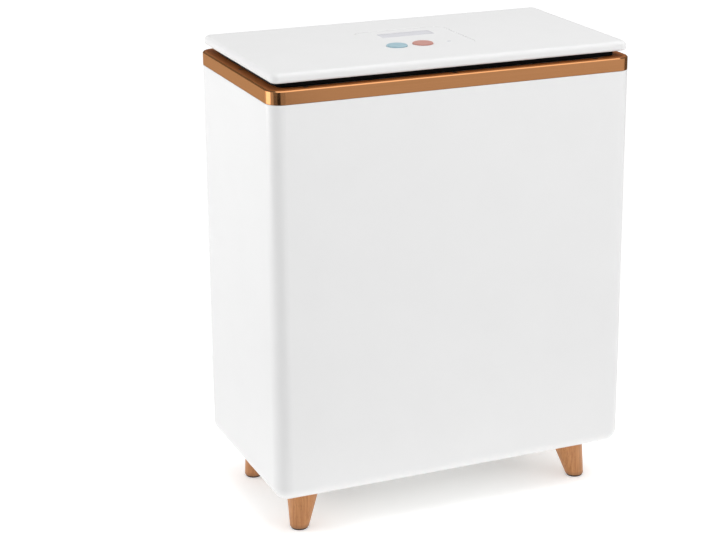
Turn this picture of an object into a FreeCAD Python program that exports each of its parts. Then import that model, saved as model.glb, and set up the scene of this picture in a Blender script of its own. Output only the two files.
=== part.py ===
import FreeCAD
import Part
import math
import os

Vector = FreeCAD.Vector

# Free-standing towel warmer: a rectangular bin with a hinged lid, standing on four splayed wooden feet.
# Origin on the floor under the middle of the bin, +X to the right, +Y to the back, +Z up, in millimetres.

# Casing
body_width = 400.0
body_depth = 220.0
shell_height = 418.0
shell_wall = 3.0
corner_radius = 16.0
bottom_edge_radius = 14.0
ground_clearance = 48.0

# Fits between pieces of one body, how far a cut runs past the face it opens, and when two levels are one
fit_gap = 0.2
hole_clearance = 0.05
overcut = 2.0
level_tolerance = 0.0001

# Base plate, in a rebate of the shell's floor
base_plate_thickness = 3.0
base_plate_inset = 18.0
base_plate_radius = 10.0
base_ledge_width = 10.0
base_ledge_thickness = 3.0
base_boss_radius = 4.0
base_boss_height = 8.0
base_screw_end = 80.0
vent_width = 4.0
vent_length = 60.0
vent_pitch = 10.0
vent_count = 5
vent_centre = 98.0

# Screws: casing size and hinge size
screw_radius = 1.5
screw_head_radius = 2.8
screw_head_height = 1.8
screw_length = 11.0
hinge_screw_radius = 1.2
hinge_screw_head_radius = 2.2
hinge_screw_head_height = 1.1
hinge_screw_length = 6.5

# Wooden feet: the foot's lower end is placed in from the sides of the bin, and the foot leans outwards
foot_inset_x = 37.0
foot_inset_y = 41.0
foot_lean_x = 8.5
foot_lean_y = 6.5
foot_low_radius = 10.2
foot_high_radius = 18.5
foot_edge_radius = 1.0
pad_thickness = 2.0
pad_radius = 8.8
foot_bolt_radius = 3.0
foot_bolt_sunk = 24.0
foot_bolt_proud = 9.0
nut_across_flats = 10.0
nut_height = 5.0
washer_radius = 9.0
washer_thickness = 1.5

# Mains gland, in the base plate near the rear left foot, placed in from the left side and the back
gland_inset_x = 82.0
gland_inset_y = 50.0
gland_bore_radius = 3.7
gland_barrel_radius = 7.8
gland_flange_radius = 11.0
gland_flange_thickness = 2.5
gland_edge_radius = 1.0
gland_proud = 7.0
gland_nut_across_flats = 22.0
gland_nut_height = 4.5

# Copper coloured band round the top of the bin, and the brown rim inside it
trim_height = 14.0
trim_thickness = 1.6
trim_edge_radius = 0.6
rim_ledge_thickness = 3.0
rim_rib = 2.2
rim_post_radius = 3.8
rim_post_inset = 9.2
rim_post_drop = 26.0
rim_post_web = 3.0
rim_screw_end = 40.0

# Warming chamber: aluminium bucket hung from its flange on the rim
liner_inset = 17.0
liner_wall = 1.2
liner_corner_radius = 20.0
liner_bottom_radius = 12.0
liner_flange_width = 4.5
bay_height = 48.0

# Heating mats and insulation round the bucket
heater_thickness = 1.5
bond_gap = 0.1
heater_wrap_low = 26.0
heater_wrap_height = 275.0
heater_seam = 12.0
heater_base_length = 290.0
heater_base_width = 124.0
heater_base_radius = 12.0
insulation_thickness = 8.0
insulation_top_drop = 34.0
sensor_pitch = 70.0
pocket_length = 60.0
pocket_width = 26.0
pocket_radius = 6.0
lead_hole_radius = 2.2

# Thermostat, thermal fuse and temperature sensor under the bucket
thermostat_radius = 8.0
thermostat_height = 9.0
thermostat_ear_length = 30.0
thermostat_ear_width = 10.0
thermostat_ear_thickness = 0.8
blade_width = 4.0
blade_thickness = 0.8
blade_length = 9.0
blade_spread = 4.5
fuse_radius = 2.2
fuse_length = 14.0
fuse_lead_radius = 0.6
fuse_lead_length = 10.0
clip_wall = 0.8
clip_length = 6.0
clip_span = 16.0
sensor_lug_length = 20.0
sensor_lug_width = 9.0
sensor_lug_thickness = 1.0
sensor_rivet_radius = 2.4
sensor_rivet_inset = 5.0
sensor_barrel_radius = 2.3
sensor_barrel_sunk = 0.5
sensor_barrel_length = 12.0

# Power board on pillars above the base plate
board_length = 120.0
board_width = 80.0
board_thickness = 1.6
board_corner = 3.0
board_hole_inset = 6.0
pillar_radius = 3.5
pillar_height = 9.0
board_screw_length = 7.0
header_length = 12.0
header_width = 6.0
header_height = 7.0
relay_size = (30.0, 16.0, 19.0)
relay_inset = 38.0
relay_y = 20.0
transformer_size = (34.0, 28.0, 21.0)
transformer_inset = 25.0
transformer_y = 12.0
capacitor_radius = 6.5
capacitor_height = 19.0
capacitor_inset = 10.0
capacitor_y = 20.0
terminal_size = (42.0, 13.0, 14.0)
terminal_place = (5.0, -27.0)
terminal_ways = 4
terminal_pitch = 10.0
terminal_well_radius = 2.6
terminal_well_depth = 4.0
component_edge = 1.0

# Leads inside the base, and the cable to the lid
lead_radius = 1.2
lead_bend = 6.0
lead_clearance = 3.6
cable_radius = 1.3
cable_bend = 4.5
lid_cable_bend = 3.2
cable_wall_gap = 1.9
cable_exit = 30.0
cable_turn = 18.0
cable_slot_length = 12.0
cable_slot_width = 7.0

# Lid
lid_reveal = 6.5
lid_inset = 3.6
lid_corner_radius = 8.0
lid_edge_height = 10.0
lid_wall = 3.0
lid_top_thickness = 3.0
lid_top_edge_radius = 4.5
lid_low_edge_radius = 2.0
lid_post_radius = 3.0
lid_screw_inset = 15.5
lid_screw_end = 60.0
lid_screw_length = 6.0
lid_liner_wall = 1.5
lid_liner_flange = 2.2
lid_liner_inset = 21.0
lid_liner_depth = 22.0
lid_liner_edge_radius = 6.0
lid_insulation_thickness = 13.0
seal_inset = 13.2
seal_corner_radius = 8.0
seal_width = 4.6
seal_edge_radius = 1.2
seal_gap = 0.2

# Concealed hinges in the gap behind the lid
hinge_x = 95.0
hinge_length = 56.0
hinge_axis_inset = 3.5
knuckle_radius = 2.9
knuckle_gap = 0.3
knuckle_relief = 0.4
lid_knuckle_length = 26.0
leaf_thickness = 1.2
leaf_reach = 8.5
hinge_pin_radius = 1.3
hinge_screw_spread = 20.0

# Control panel in the top of the lid
panel_width = 104.0
panel_depth = 92.0
panel_radius = 10.0
panel_recess = 1.8
panel_ledge = 2.2
fascia_thickness = 1.5
window_width = 60.0
window_depth = 20.0
window_radius = 3.0
window_ledge = 2.0
window_opening_radius = 1.2
window_lens_thickness = 0.9
window_y = 22.0
display_size = (50.0, 17.0, 8.0)
display_rim = 1.6
display_face_sunk = 0.8
indicator_x = 26.0
indicator_radius = 2.5
indicator_collar = 1.0
display_board_width = 116.0
display_board_depth = 84.0
display_board_drop = 9.5
display_post_x = 53.5
display_post_y = 36.0
display_header_y = 34.0

# Push buttons, their stems and the switches under them
blue_button_x = -32.5
red_button_x = -3.5
button_y = -30.0
button_radius = 10.8
button_clearance = 0.3
button_proud = 1.4
button_crown_radius = 1.0
button_flange_width = 1.2
button_flange_thickness = 1.2
button_stem_radius = 3.2
button_travel = 0.8
switch_side = 12.0
switch_height = 3.5
plunger_radius = 3.0
plunger_proud = 1.8
plunger_clearance = 0.3
plunger_engaged = 0.6

# Levels
base_low = ground_clearance
base_top = base_low + base_plate_thickness
floor_top = base_top + base_ledge_thickness
shell_top = base_low + shell_height
trim_top = shell_top + trim_height
ledge_low = trim_top - rim_ledge_thickness
liner_low = base_low + bay_height
heater_base_low = liner_low - bond_gap - heater_thickness
insulation_base_low = heater_base_low - bond_gap - insulation_thickness
board_low = base_top + pillar_height
board_top = board_low + board_thickness
lid_low = trim_top + lid_reveal
lid_top = lid_low + lid_edge_height
lid_ceiling = lid_top - lid_top_thickness
lid_flange_top = lid_low + lid_liner_flange
lid_liner_low = lid_low - lid_liner_depth
lid_liner_floor = lid_liner_low + lid_liner_wall
thermostat_low = liner_low - thermostat_ear_thickness - thermostat_height
blade_low = thermostat_low - blade_length
fuse_z = liner_low - clip_wall - hole_clearance - fuse_radius
sensor_lug_low = liner_low - sensor_lug_thickness
sensor_z = sensor_lug_low - sensor_barrel_radius + sensor_barrel_sunk
fascia_low = lid_top - panel_recess
fascia_top = fascia_low + fascia_thickness
lens_low = fascia_top - window_lens_thickness
display_board_top = lid_ceiling - display_board_drop
display_board_low = display_board_top - board_thickness
switch_top = display_board_top + switch_height
plunger_top = switch_top + plunger_proud
button_flange_top = fascia_low - fit_gap
button_flange_low = button_flange_top - button_flange_thickness

# Shared places
half_width = body_width / 2
half_depth = body_depth / 2
rim_outer_inset = trim_thickness + fit_gap
liner_corner_inset = liner_inset + liner_corner_radius
liner_flange_inset = liner_inset - liner_flange_width
heater_inset = liner_inset - bond_gap - heater_thickness
insulation_inset = heater_inset - 2 * bond_gap
hinge_axis_y = half_depth - hinge_axis_inset
hinge_axis_z = trim_top + lid_reveal / 2
leaf_front = hinge_axis_y - leaf_reach
leaf_back = hinge_axis_y - knuckle_radius - knuckle_relief
hinge_screw_y = (leaf_front + leaf_back) / 2
cable_wall_y = half_depth - shell_wall - cable_wall_gap
gland_x = gland_inset_x - half_width
gland_y = half_depth - gland_inset_y
foot_low_x = half_width - foot_inset_x
foot_low_y = half_depth - foot_inset_y
foot_high_x = foot_low_x - ground_clearance * math.tan(math.radians(foot_lean_x))
foot_high_y = foot_low_y - ground_clearance * math.tan(math.radians(foot_lean_y))
pad_share = pad_thickness / ground_clearance
pad_x = foot_low_x + (foot_high_x - foot_low_x) * pad_share
pad_y = foot_low_y + (foot_high_y - foot_low_y) * pad_share


def edges_at(shape, level):
    flat = [e for e in shape.Edges if e.BoundBox.ZLength < level_tolerance]
    return [e for e in flat if abs(e.BoundBox.ZMin - level) < level_tolerance]


def rounded_block(width, depth, radius, low, high, x=0.0, y=0.0):
    block = Part.makeBox(width, depth, high - low, Vector(x - width / 2, y - depth / 2, low))
    uprights = [e for e in block.Edges if e.BoundBox.ZLength > (high - low) / 2]
    return block.makeFillet(radius, uprights)


def round_ended(width, depth, low, high, x, y):
    radius = min(width, depth) / 2 - hole_clearance
    return rounded_block(width, depth, radius, low, high, x, y)


def plain_block(size, low, x, y):
    return Part.makeBox(size[0], size[1], size[2], Vector(x - size[0] / 2, y - size[1] / 2, low))


def body_block(inset, low, high, radius=None):
    corner = corner_radius - inset if radius is None else radius
    return rounded_block(body_width - 2 * inset, body_depth - 2 * inset, corner, low, high)


def liner_block(inset, low, high):
    return body_block(inset, low, high, liner_corner_inset - inset)


def pillar(radius, low, high, x, y):
    return Part.makeCylinder(radius, high - low, Vector(x, y, low))


def bar_x(radius, left, right, y, z):
    return Part.makeCylinder(radius, right - left, Vector(left, y, z), Vector(1, 0, 0))


def hex_prism(across_flats, low, high, x, y):
    reach = across_flats / math.sqrt(3)
    turns = [k * math.pi / 3 for k in range(6)]
    corners = [Vector(x + reach * math.cos(a), y + reach * math.sin(a), low) for a in turns]
    outline = Part.makePolygon(corners + corners[:1])
    return Part.Face(outline).extrude(Vector(0, 0, high - low))


def ring_points(inset, end_offset):
    # three places along the front and the back, and one at each side
    end = half_width - end_offset
    rows = [(x, side * (half_depth - inset)) for side in (-1, 1) for x in (-end, 0.0, end)]
    return rows + [(side * (half_width - inset), 0.0) for side in (-1, 1)]


base_screw_points = ring_points(base_plate_inset + base_ledge_width / 2, base_screw_end)
rim_screw_points = ring_points(rim_post_inset, rim_screw_end)
lid_screw_points = ring_points(lid_screw_inset, lid_screw_end)
hinge_centres = {"left": -hinge_x, "right": hinge_x}
hinge_screw_points = [
    (centre + side * hinge_screw_spread, hinge_screw_y)
    for centre in hinge_centres.values()
    for side in (-1, 1)
]
board_screw_points = [
    (sx * (board_length / 2 - board_hole_inset), sy * (board_width / 2 - board_hole_inset))
    for sx in (-1, 1)
    for sy in (-1, 1)
]
display_screw_points = [(sx * display_post_x, sy * display_post_y) for sx in (-1, 1) for sy in (-1, 1)]
foot_places = {
    "foot_front_left": (-1, -1),
    "foot_front_right": (1, -1),
    "foot_rear_left": (-1, 1),
    "foot_rear_right": (1, 1),
}
button_places = {"blue": blue_button_x, "red": red_button_x}
sensor_places = {"thermostat": -sensor_pitch, "fuse": 0.0, "sensor": sensor_pitch}
sensor_barrel_end = sensor_places["sensor"] + (sensor_lug_length + sensor_barrel_length) / 2

# Where the two leads to the base mat go up through the insulation
mat_lead_y = -(pocket_width / 2 + lead_clearance + lead_bend)
thermostat_lead_x = sensor_places["thermostat"] + blade_spread
fuse_end_x = fuse_length / 2 + fuse_lead_length
fuse_lead_x = sensor_places["fuse"] - fuse_end_x - lead_bend
mat_lead_places = (thermostat_lead_x, fuse_lead_x)

# Sockets on the power board: for the lid's cable at the rear edge and for the sensor at the right end
cable_header_x = -cable_exit
cable_header_y = (board_width - header_width) / 2
sensor_header_x = (board_length - header_width) / 2

# Components placed in from the ends of the power board
board_end = board_length / 2
relay_place = (board_end - relay_inset, relay_y)
transformer_place = (transformer_inset - board_end, transformer_y)
capacitor_place = (board_end - capacitor_inset, capacitor_y)


def upright_span(radius, start, length, pointing, x, y):
    low = min(start, start + pointing * length)
    return pillar(radius, low, low + length, x, y)


def head_cone(radius, head_radius, head_height, seat, pointing, x, y):
    return Part.makeCone(head_radius, radius, head_height, Vector(x, y, seat), Vector(0, 0, pointing))


def pan_screw(x, y, seat, pointing, length):
    shank = upright_span(screw_radius, seat, length, pointing, x, y)
    head = upright_span(screw_head_radius, seat, screw_head_height, -pointing, x, y)
    top = seat - pointing * screw_head_height
    head = head.makeFillet(screw_head_height / 2, edges_at(head, top))
    return head.fuse(shank)


def flush_screw(x, y, seat, pointing, length, radius, head_radius, head_height):
    shank = upright_span(radius, seat, length, pointing, x, y)
    return shank.fuse(head_cone(radius, head_radius, head_height, seat, pointing, x, y))


def screw_hole(x, y, start, pointing, depth, radius):
    return upright_span(radius + hole_clearance, start, depth, pointing, x, y)


def sunk_hole(x, y, seat, pointing, depth, radius, head_radius, head_height):
    hole = screw_hole(x, y, seat, pointing, depth, radius)
    wide = head_radius + hole_clearance
    return hole.fuse(head_cone(radius + hole_clearance, wide, head_height, seat, pointing, x, y))


def casing_sunk_hole(x, y, seat, pointing, depth):
    return sunk_hole(x, y, seat, pointing, depth, screw_radius, screw_head_radius, screw_head_height)


def hinge_sunk_hole(x, y, seat, pointing, depth):
    return sunk_hole(
        x, y, seat, pointing, depth, hinge_screw_radius, hinge_screw_head_radius, hinge_screw_head_height
    )


def lead(points, radius, bend):
    # a round lead along straight runs joined by tangent arcs
    path = []
    start = points[0]
    for before, corner, after in zip(points, points[1:], points[2:]):
        arriving = (corner - before).normalize()
        leaving = (after - corner).normalize()
        turn = arriving.getAngle(leaving)
        setback = bend * math.tan(turn / 2)
        first = corner - arriving * setback
        last = corner + leaving * setback
        inward = (leaving - arriving).normalize()
        middle = corner + inward * (bend / math.cos(turn / 2) - bend)
        path.append(Part.LineSegment(start, first).toShape())
        path.append(Part.Arc(first, middle, last).toShape())
        start = last
    path.append(Part.LineSegment(start, points[-1]).toShape())
    section = Part.Wire([Part.Circle(points[0], points[1] - points[0], radius).toShape()])
    return Part.Wire(path).makePipeShell([section], True, False)


def make_outer_shell():
    shell = body_block(0.0, base_low, shell_top)
    shell = shell.makeFillet(bottom_edge_radius, edges_at(shell, base_low))
    cavity = body_block(shell_wall, floor_top, shell_top + overcut)
    shell = shell.cut(cavity.makeFillet(bottom_edge_radius - shell_wall, edges_at(cavity, floor_top)))
    shell = shell.cut(body_block(base_plate_inset, base_low - overcut, base_top, base_plate_radius))
    opening = base_plate_inset + base_ledge_width
    shell = shell.cut(body_block(opening, base_low, floor_top + overcut, base_plate_radius))
    bosses = [
        pillar(base_boss_radius, base_top, floor_top + base_boss_height, x, y) for x, y in base_screw_points
    ]
    bosses += [rim_post(x, y) for x, y in rim_screw_points]
    shell = shell.multiFuse(bosses)
    holes = [
        screw_hole(x, y, base_top - overcut, 1, screw_length + 2 * overcut, screw_radius)
        for x, y in base_screw_points
    ]
    holes += [
        screw_hole(x, y, ledge_low + overcut, -1, screw_length + 2 * overcut, screw_radius)
        for x, y in rim_screw_points
    ]
    return shell.cut(Part.makeCompound(holes))


def rim_post(x, y):
    # a post that carries the rim, joined by a web to the nearest wall of the shell
    low = shell_top - rim_post_drop
    post = pillar(rim_post_radius, low, ledge_low, x, y)
    reach = rim_post_inset - shell_wall / 2
    height = rim_post_drop - overcut
    if y == 0.0:
        corner = Vector(x if x > 0 else x - reach, -rim_post_web / 2, low)
        web = Part.makeBox(reach, rim_post_web, height, corner)
    else:
        corner = Vector(x - rim_post_web / 2, y if y > 0 else y - reach, low)
        web = Part.makeBox(rim_post_web, reach, height, corner)
    return post.fuse(web)


def make_base_plate():
    plate = body_block(base_plate_inset + fit_gap, base_low, base_top, base_plate_radius - fit_gap)
    low = base_low - overcut
    high = base_top + overcut
    cuts = [screw_hole(x, y, low, 1, high - low, screw_radius) for x, y in base_screw_points]
    cuts += [
        screw_hole(sx * foot_high_x, sy * foot_high_y, low, 1, high - low, foot_bolt_radius)
        for sx, sy in foot_places.values()
    ]
    cuts.append(pillar(gland_barrel_radius + fit_gap, low, high, gland_x, gland_y))
    first = -(vent_count - 1) / 2
    for side in (-1, 1):
        for k in range(vent_count):
            x = side * vent_centre + (first + k) * vent_pitch
            cuts.append(round_ended(vent_width, vent_length, low, high, x, 0.0))
    return plate.cut(Part.makeCompound(cuts))


def make_foot(sx, sy):
    up = Vector(0, 0, 1)
    low = Part.Circle(Vector(sx * pad_x, sy * pad_y, pad_thickness), up, foot_low_radius)
    high = Part.Circle(Vector(sx * foot_high_x, sy * foot_high_y, base_low), up, foot_high_radius)
    foot = Part.makeLoft([Part.Wire(low.toShape()), Part.Wire(high.toShape())], True, True)
    foot = foot.makeFillet(foot_edge_radius, edges_at(foot, pad_thickness))
    drop = foot_bolt_sunk + hole_clearance
    hole = screw_hole(
        sx * foot_high_x, sy * foot_high_y, base_low + overcut, -1, drop + overcut, foot_bolt_radius
    )
    return foot.cut(hole)


def make_foot_pads():
    return [
        pillar(pad_radius, 0.0, pad_thickness, sx * pad_x, sy * pad_y) for sx, sy in foot_places.values()
    ]


def make_foot_bolts():
    low = base_low - foot_bolt_sunk
    high = base_top + foot_bolt_proud
    return [
        pillar(foot_bolt_radius, low, high, sx * foot_high_x, sy * foot_high_y)
        for sx, sy in foot_places.values()
    ]


def make_foot_nuts():
    nuts = []
    for sx, sy in foot_places.values():
        x = sx * foot_high_x
        y = sy * foot_high_y
        washer_top = base_top + washer_thickness
        nut_top = washer_top + nut_height
        nut = hex_prism(nut_across_flats, washer_top, nut_top, x, y)
        nut = nut.fuse(pillar(washer_radius, base_top, washer_top, x, y))
        low = base_top - overcut
        hole = screw_hole(x, y, low, 1, nut_top + overcut - low, foot_bolt_radius)
        nuts.append(nut.cut(hole))
    return nuts


def make_cord_gland():
    flange_low = base_low - gland_flange_thickness
    flange = pillar(gland_flange_radius, flange_low, base_low, gland_x, gland_y)
    flange = flange.makeFillet(gland_edge_radius, edges_at(flange, flange_low))
    barrel_top = base_top + gland_proud
    gland = flange.fuse(pillar(gland_barrel_radius, base_low, barrel_top, gland_x, gland_y))
    bore = pillar(gland_bore_radius, flange_low - overcut, barrel_top + overcut, gland_x, gland_y)
    return gland.cut(bore)


def make_gland_nut():
    top = base_top + gland_nut_height
    nut = hex_prism(gland_nut_across_flats, base_top, top, gland_x, gland_y)
    bore_radius = gland_barrel_radius + hole_clearance
    return nut.cut(pillar(bore_radius, base_low, top + overcut, gland_x, gland_y))


def make_trim_band():
    band = body_block(0.0, shell_top, trim_top)
    band = band.makeFillet(trim_edge_radius, edges_at(band, shell_top) + edges_at(band, trim_top))
    return band.cut(body_block(trim_thickness, shell_top - overcut, trim_top + overcut))


def make_rim_frame():
    ledge = body_block(rim_outer_inset, ledge_low, trim_top)
    rib = body_block(rim_outer_inset, shell_top, ledge_low)
    rib = rib.cut(body_block(rim_outer_inset + rim_rib, shell_top - overcut, ledge_low + overcut))
    bosses = [
        pillar(rim_post_radius - hole_clearance, trim_top - hinge_screw_length - overcut, ledge_low, x, y)
        for x, y in hinge_screw_points
    ]
    frame = ledge.multiFuse([rib] + bosses)
    high = trim_top + overcut
    frame = frame.cut(liner_block(liner_inset - fit_gap, shell_top - overcut, high))
    frame = frame.cut(liner_block(liner_flange_inset - fit_gap, trim_top - liner_wall, high))
    through = rim_ledge_thickness + overcut
    cuts = [casing_sunk_hole(x, y, trim_top, -1, through) for x, y in rim_screw_points]
    cuts += [
        screw_hole(x, y, high, -1, hinge_screw_length + overcut, hinge_screw_radius)
        for x, y in hinge_screw_points
    ]
    cuts.append(cable_slot(-cable_exit, ledge_low - overcut, high))
    return frame.cut(Part.makeCompound(cuts))


def cable_slot(x, low, high):
    return round_ended(cable_slot_length, cable_slot_width, low, high, x, hinge_screw_y)


def make_inner_liner():
    bucket = liner_block(liner_inset, liner_low, trim_top)
    bucket = bucket.makeFillet(liner_bottom_radius, edges_at(bucket, liner_low))
    bucket = bucket.fuse(liner_block(liner_flange_inset, trim_top - liner_wall, trim_top))
    hollow = liner_block(liner_inset + liner_wall, liner_low + liner_wall, trim_top + overcut)
    bottom = edges_at(hollow, liner_low + liner_wall)
    return bucket.cut(hollow.makeFillet(liner_bottom_radius - liner_wall, bottom))


def make_heater_wrap():
    low = liner_low + heater_wrap_low
    high = low + heater_wrap_height
    wrap = liner_block(heater_inset, low, high)
    wrap = wrap.cut(liner_block(liner_inset - bond_gap, low - overcut, high + overcut))
    seam = (heater_seam, half_depth, heater_wrap_height + 2 * overcut)
    return wrap.cut(plain_block(seam, low - overcut, 0.0, half_depth))


def sensor_pockets(low, high):
    return [
        rounded_block(pocket_length, pocket_width, pocket_radius, low, high, x, 0.0)
        for x in sensor_places.values()
    ]


def make_heater_base():
    high = heater_base_low + heater_thickness
    mat = rounded_block(heater_base_length, heater_base_width, heater_base_radius, heater_base_low, high)
    return mat.cut(Part.makeCompound(sensor_pockets(heater_base_low - overcut, high + overcut)))


def make_insulation_wrap():
    high = shell_top - insulation_top_drop
    wrap = liner_block(insulation_inset - insulation_thickness, insulation_base_low, high)
    return wrap.cut(liner_block(insulation_inset, insulation_base_low - overcut, high + overcut))


def make_insulation_base():
    high = insulation_base_low + insulation_thickness
    inset = liner_inset + liner_bottom_radius
    floor = liner_block(inset, insulation_base_low, high)
    cuts = sensor_pockets(insulation_base_low - overcut, high + overcut)
    cuts += [
        pillar(lead_hole_radius, insulation_base_low - overcut, high + overcut, x, mat_lead_y)
        for x in mat_lead_places
    ]
    return floor.cut(Part.makeCompound(cuts))


def make_thermostat():
    x = sensor_places["thermostat"]
    ear_low = liner_low - thermostat_ear_thickness
    ear = round_ended(thermostat_ear_length, thermostat_ear_width, ear_low, liner_low, x, 0.0)
    pieces = [pillar(thermostat_radius, thermostat_low, ear_low, x, 0.0)]
    for side in (-1, 1):
        size = (blade_thickness, blade_width, blade_length)
        pieces.append(plain_block(size, blade_low, x + side * blade_spread, 0.0))
    return ear.multiFuse(pieces)


def make_thermal_fuse():
    x = sensor_places["fuse"]
    case = bar_x(fuse_radius, x - fuse_length / 2, x + fuse_length / 2, 0.0, fuse_z)
    return case.fuse(bar_x(fuse_lead_radius, x - fuse_end_x, x + fuse_end_x, 0.0, fuse_z))


def make_fuse_clip():
    # a saddle fixed to the bucket's underside, with the fuse in its loop
    x = sensor_places["fuse"]
    bore = fuse_radius + hole_clearance
    strip = plain_block((clip_length, clip_span, clip_wall), liner_low - clip_wall, x, 0.0)
    left = x - clip_length / 2
    loop = bar_x(bore + clip_wall, left, left + clip_length, 0.0, fuse_z)
    side = bore + clip_wall
    neck = plain_block((clip_length, 2 * side, liner_low - fuse_z), fuse_z, x, 0.0)
    hollow = bar_x(bore, left - overcut, left + clip_length + overcut, 0.0, fuse_z)
    return strip.multiFuse([loop, neck]).cut(hollow)


def make_temperature_sensor():
    x = sensor_places["sensor"]
    lug = round_ended(sensor_lug_length, sensor_lug_width, sensor_lug_low, liner_low, x, 0.0)
    rivet_x = x - sensor_lug_length / 2 + sensor_rivet_inset
    rivet_low = sensor_lug_low - sensor_lug_thickness
    rivet = pillar(sensor_rivet_radius, rivet_low, sensor_lug_low, rivet_x, 0.0)
    barrel_start = sensor_barrel_end - sensor_barrel_length
    barrel = bar_x(sensor_barrel_radius, barrel_start, sensor_barrel_end, 0.0, sensor_z)
    barrel = barrel.cut(plain_block((body_width, body_depth, overcut), liner_low, 0.0, 0.0))
    return lug.multiFuse([rivet, barrel])


def make_power_board():
    board = rounded_block(board_length, board_width, board_corner, board_low, board_top)
    cable_header = (header_length, header_width, header_height)
    sensor_header = (header_width, header_length, header_height)
    headers = [
        plain_block(cable_header, board_top, cable_header_x, cable_header_y),
        plain_block(sensor_header, board_top, sensor_header_x, 0.0),
    ]
    board = board.multiFuse(headers)
    holes = [
        screw_hole(x, y, board_low - overcut, 1, board_thickness + 2 * overcut, screw_radius)
        for x, y in board_screw_points
    ]
    return board.cut(Part.makeCompound(holes))


def make_board_pillars():
    pillars = []
    for x, y in board_screw_points:
        hole = screw_hole(x, y, board_low + overcut, -1, board_screw_length + overcut, screw_radius)
        pillars.append(pillar(pillar_radius, base_top, board_low, x, y).cut(hole))
    return pillars


def make_component(size, place):
    block = plain_block(size, board_top, place[0], place[1])
    high = board_top + size[2]
    rounded = [e for e in block.Edges if e.BoundBox.ZMax > high - level_tolerance]
    return block.makeFillet(component_edge, rounded)


def make_capacitor():
    high = board_top + capacitor_height
    can = pillar(capacitor_radius, board_top, high, capacitor_place[0], capacitor_place[1])
    return can.makeFillet(component_edge, edges_at(can, high))


def terminal_way(k):
    return terminal_place[0] + (k - (terminal_ways - 1) / 2) * terminal_pitch


def make_terminal_block():
    block = make_component(terminal_size, terminal_place)
    high = board_top + terminal_size[2]
    low = high - terminal_well_depth
    wells = [
        pillar(terminal_well_radius, low, high + overcut, terminal_way(k), terminal_place[1])
        for k in range(terminal_ways)
    ]
    return block.cut(Part.makeCompound(wells))


def make_heater_leads():
    # terminal block to thermostat and to fuse, and from each of those to the base mat
    front = terminal_place[1] - terminal_size[1] / 2
    run_y = -board_width / 2 - 2 * lead_bend
    run_z = board_top + terminal_size[2] / 2
    blade_x = sensor_places["thermostat"] - blade_spread
    first_x = terminal_way(0)
    last_x = terminal_way(terminal_ways - 1)
    rise_x = sensor_places["fuse"] + fuse_end_x + lead_bend
    over_z = insulation_base_low - lead_clearance
    to_thermostat = [
        Vector(first_x, front, run_z),
        Vector(first_x, run_y, run_z),
        Vector(blade_x, run_y, run_z),
        Vector(blade_x, 0.0, run_z - lead_bend),
        Vector(blade_x, 0.0, blade_low),
    ]
    to_fuse = [
        Vector(last_x, front, run_z),
        Vector(last_x, run_y, run_z),
        Vector(rise_x, run_y, over_z),
        Vector(rise_x, 0.0, over_z),
        Vector(rise_x, 0.0, fuse_z),
    ]
    from_thermostat = [
        Vector(thermostat_lead_x, 0.0, blade_low),
        Vector(thermostat_lead_x, 0.0, run_z - lead_bend),
        Vector(thermostat_lead_x, mat_lead_y, run_z - lead_bend),
        Vector(thermostat_lead_x, mat_lead_y, heater_base_low),
    ]
    from_fuse = [
        Vector(fuse_lead_x, 0.0, fuse_z),
        Vector(fuse_lead_x, 0.0, over_z),
        Vector(fuse_lead_x, mat_lead_y, over_z),
        Vector(fuse_lead_x, mat_lead_y, heater_base_low),
    ]
    runs = (to_thermostat, to_fuse, from_thermostat, from_fuse)
    return [lead(points, lead_radius, lead_bend) for points in runs]


def make_sensor_lead():
    turn_x = sensor_barrel_end + 2 * lead_bend
    entry_z = board_top + header_height / 2
    points = [
        Vector(sensor_barrel_end, 0.0, sensor_z),
        Vector(turn_x, 0.0, sensor_z),
        Vector(turn_x, 0.0, entry_z),
        Vector(board_length / 2, 0.0, entry_z),
    ]
    return lead(points, lead_radius, lead_bend)


def make_lid_cable_body():
    # from the power board up the rear wall, through the rim and along the hinge axis to the middle
    entry_z = board_top + header_height / 2
    sway_low = shell_top - insulation_top_drop + 2 * cable_bend
    sway_high = shell_top - 2 * cable_bend
    x = -cable_exit
    points = [
        Vector(x, board_width / 2, entry_z),
        Vector(x, cable_wall_y, entry_z),
        Vector(x, cable_wall_y, sway_low),
        Vector(x, hinge_screw_y, sway_high),
        Vector(x, hinge_screw_y, hinge_axis_z),
        Vector(-cable_turn, hinge_axis_y, hinge_axis_z),
        Vector(0.0, hinge_axis_y, hinge_axis_z),
    ]
    return lead(points, cable_radius, cable_bend)


def make_lid_cable_lid():
    # from the middle of the hinge axis into the lid and forward to the display board
    run_z = lid_ceiling - 2 * cable_radius
    entry_z = display_board_top + header_height / 2
    entry_y = display_header_y + header_width / 2
    points = [
        Vector(0.0, hinge_axis_y, hinge_axis_z),
        Vector(cable_turn, hinge_axis_y, hinge_axis_z),
        Vector(cable_exit, hinge_screw_y, hinge_axis_z),
        Vector(cable_exit, hinge_screw_y, run_z),
        Vector(cable_exit, entry_y + 4 * cable_bend, run_z),
        Vector(cable_exit, entry_y + 2 * cable_bend, entry_z),
        Vector(cable_exit, entry_y, entry_z),
    ]
    return lead(points, cable_radius, lid_cable_bend)


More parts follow.
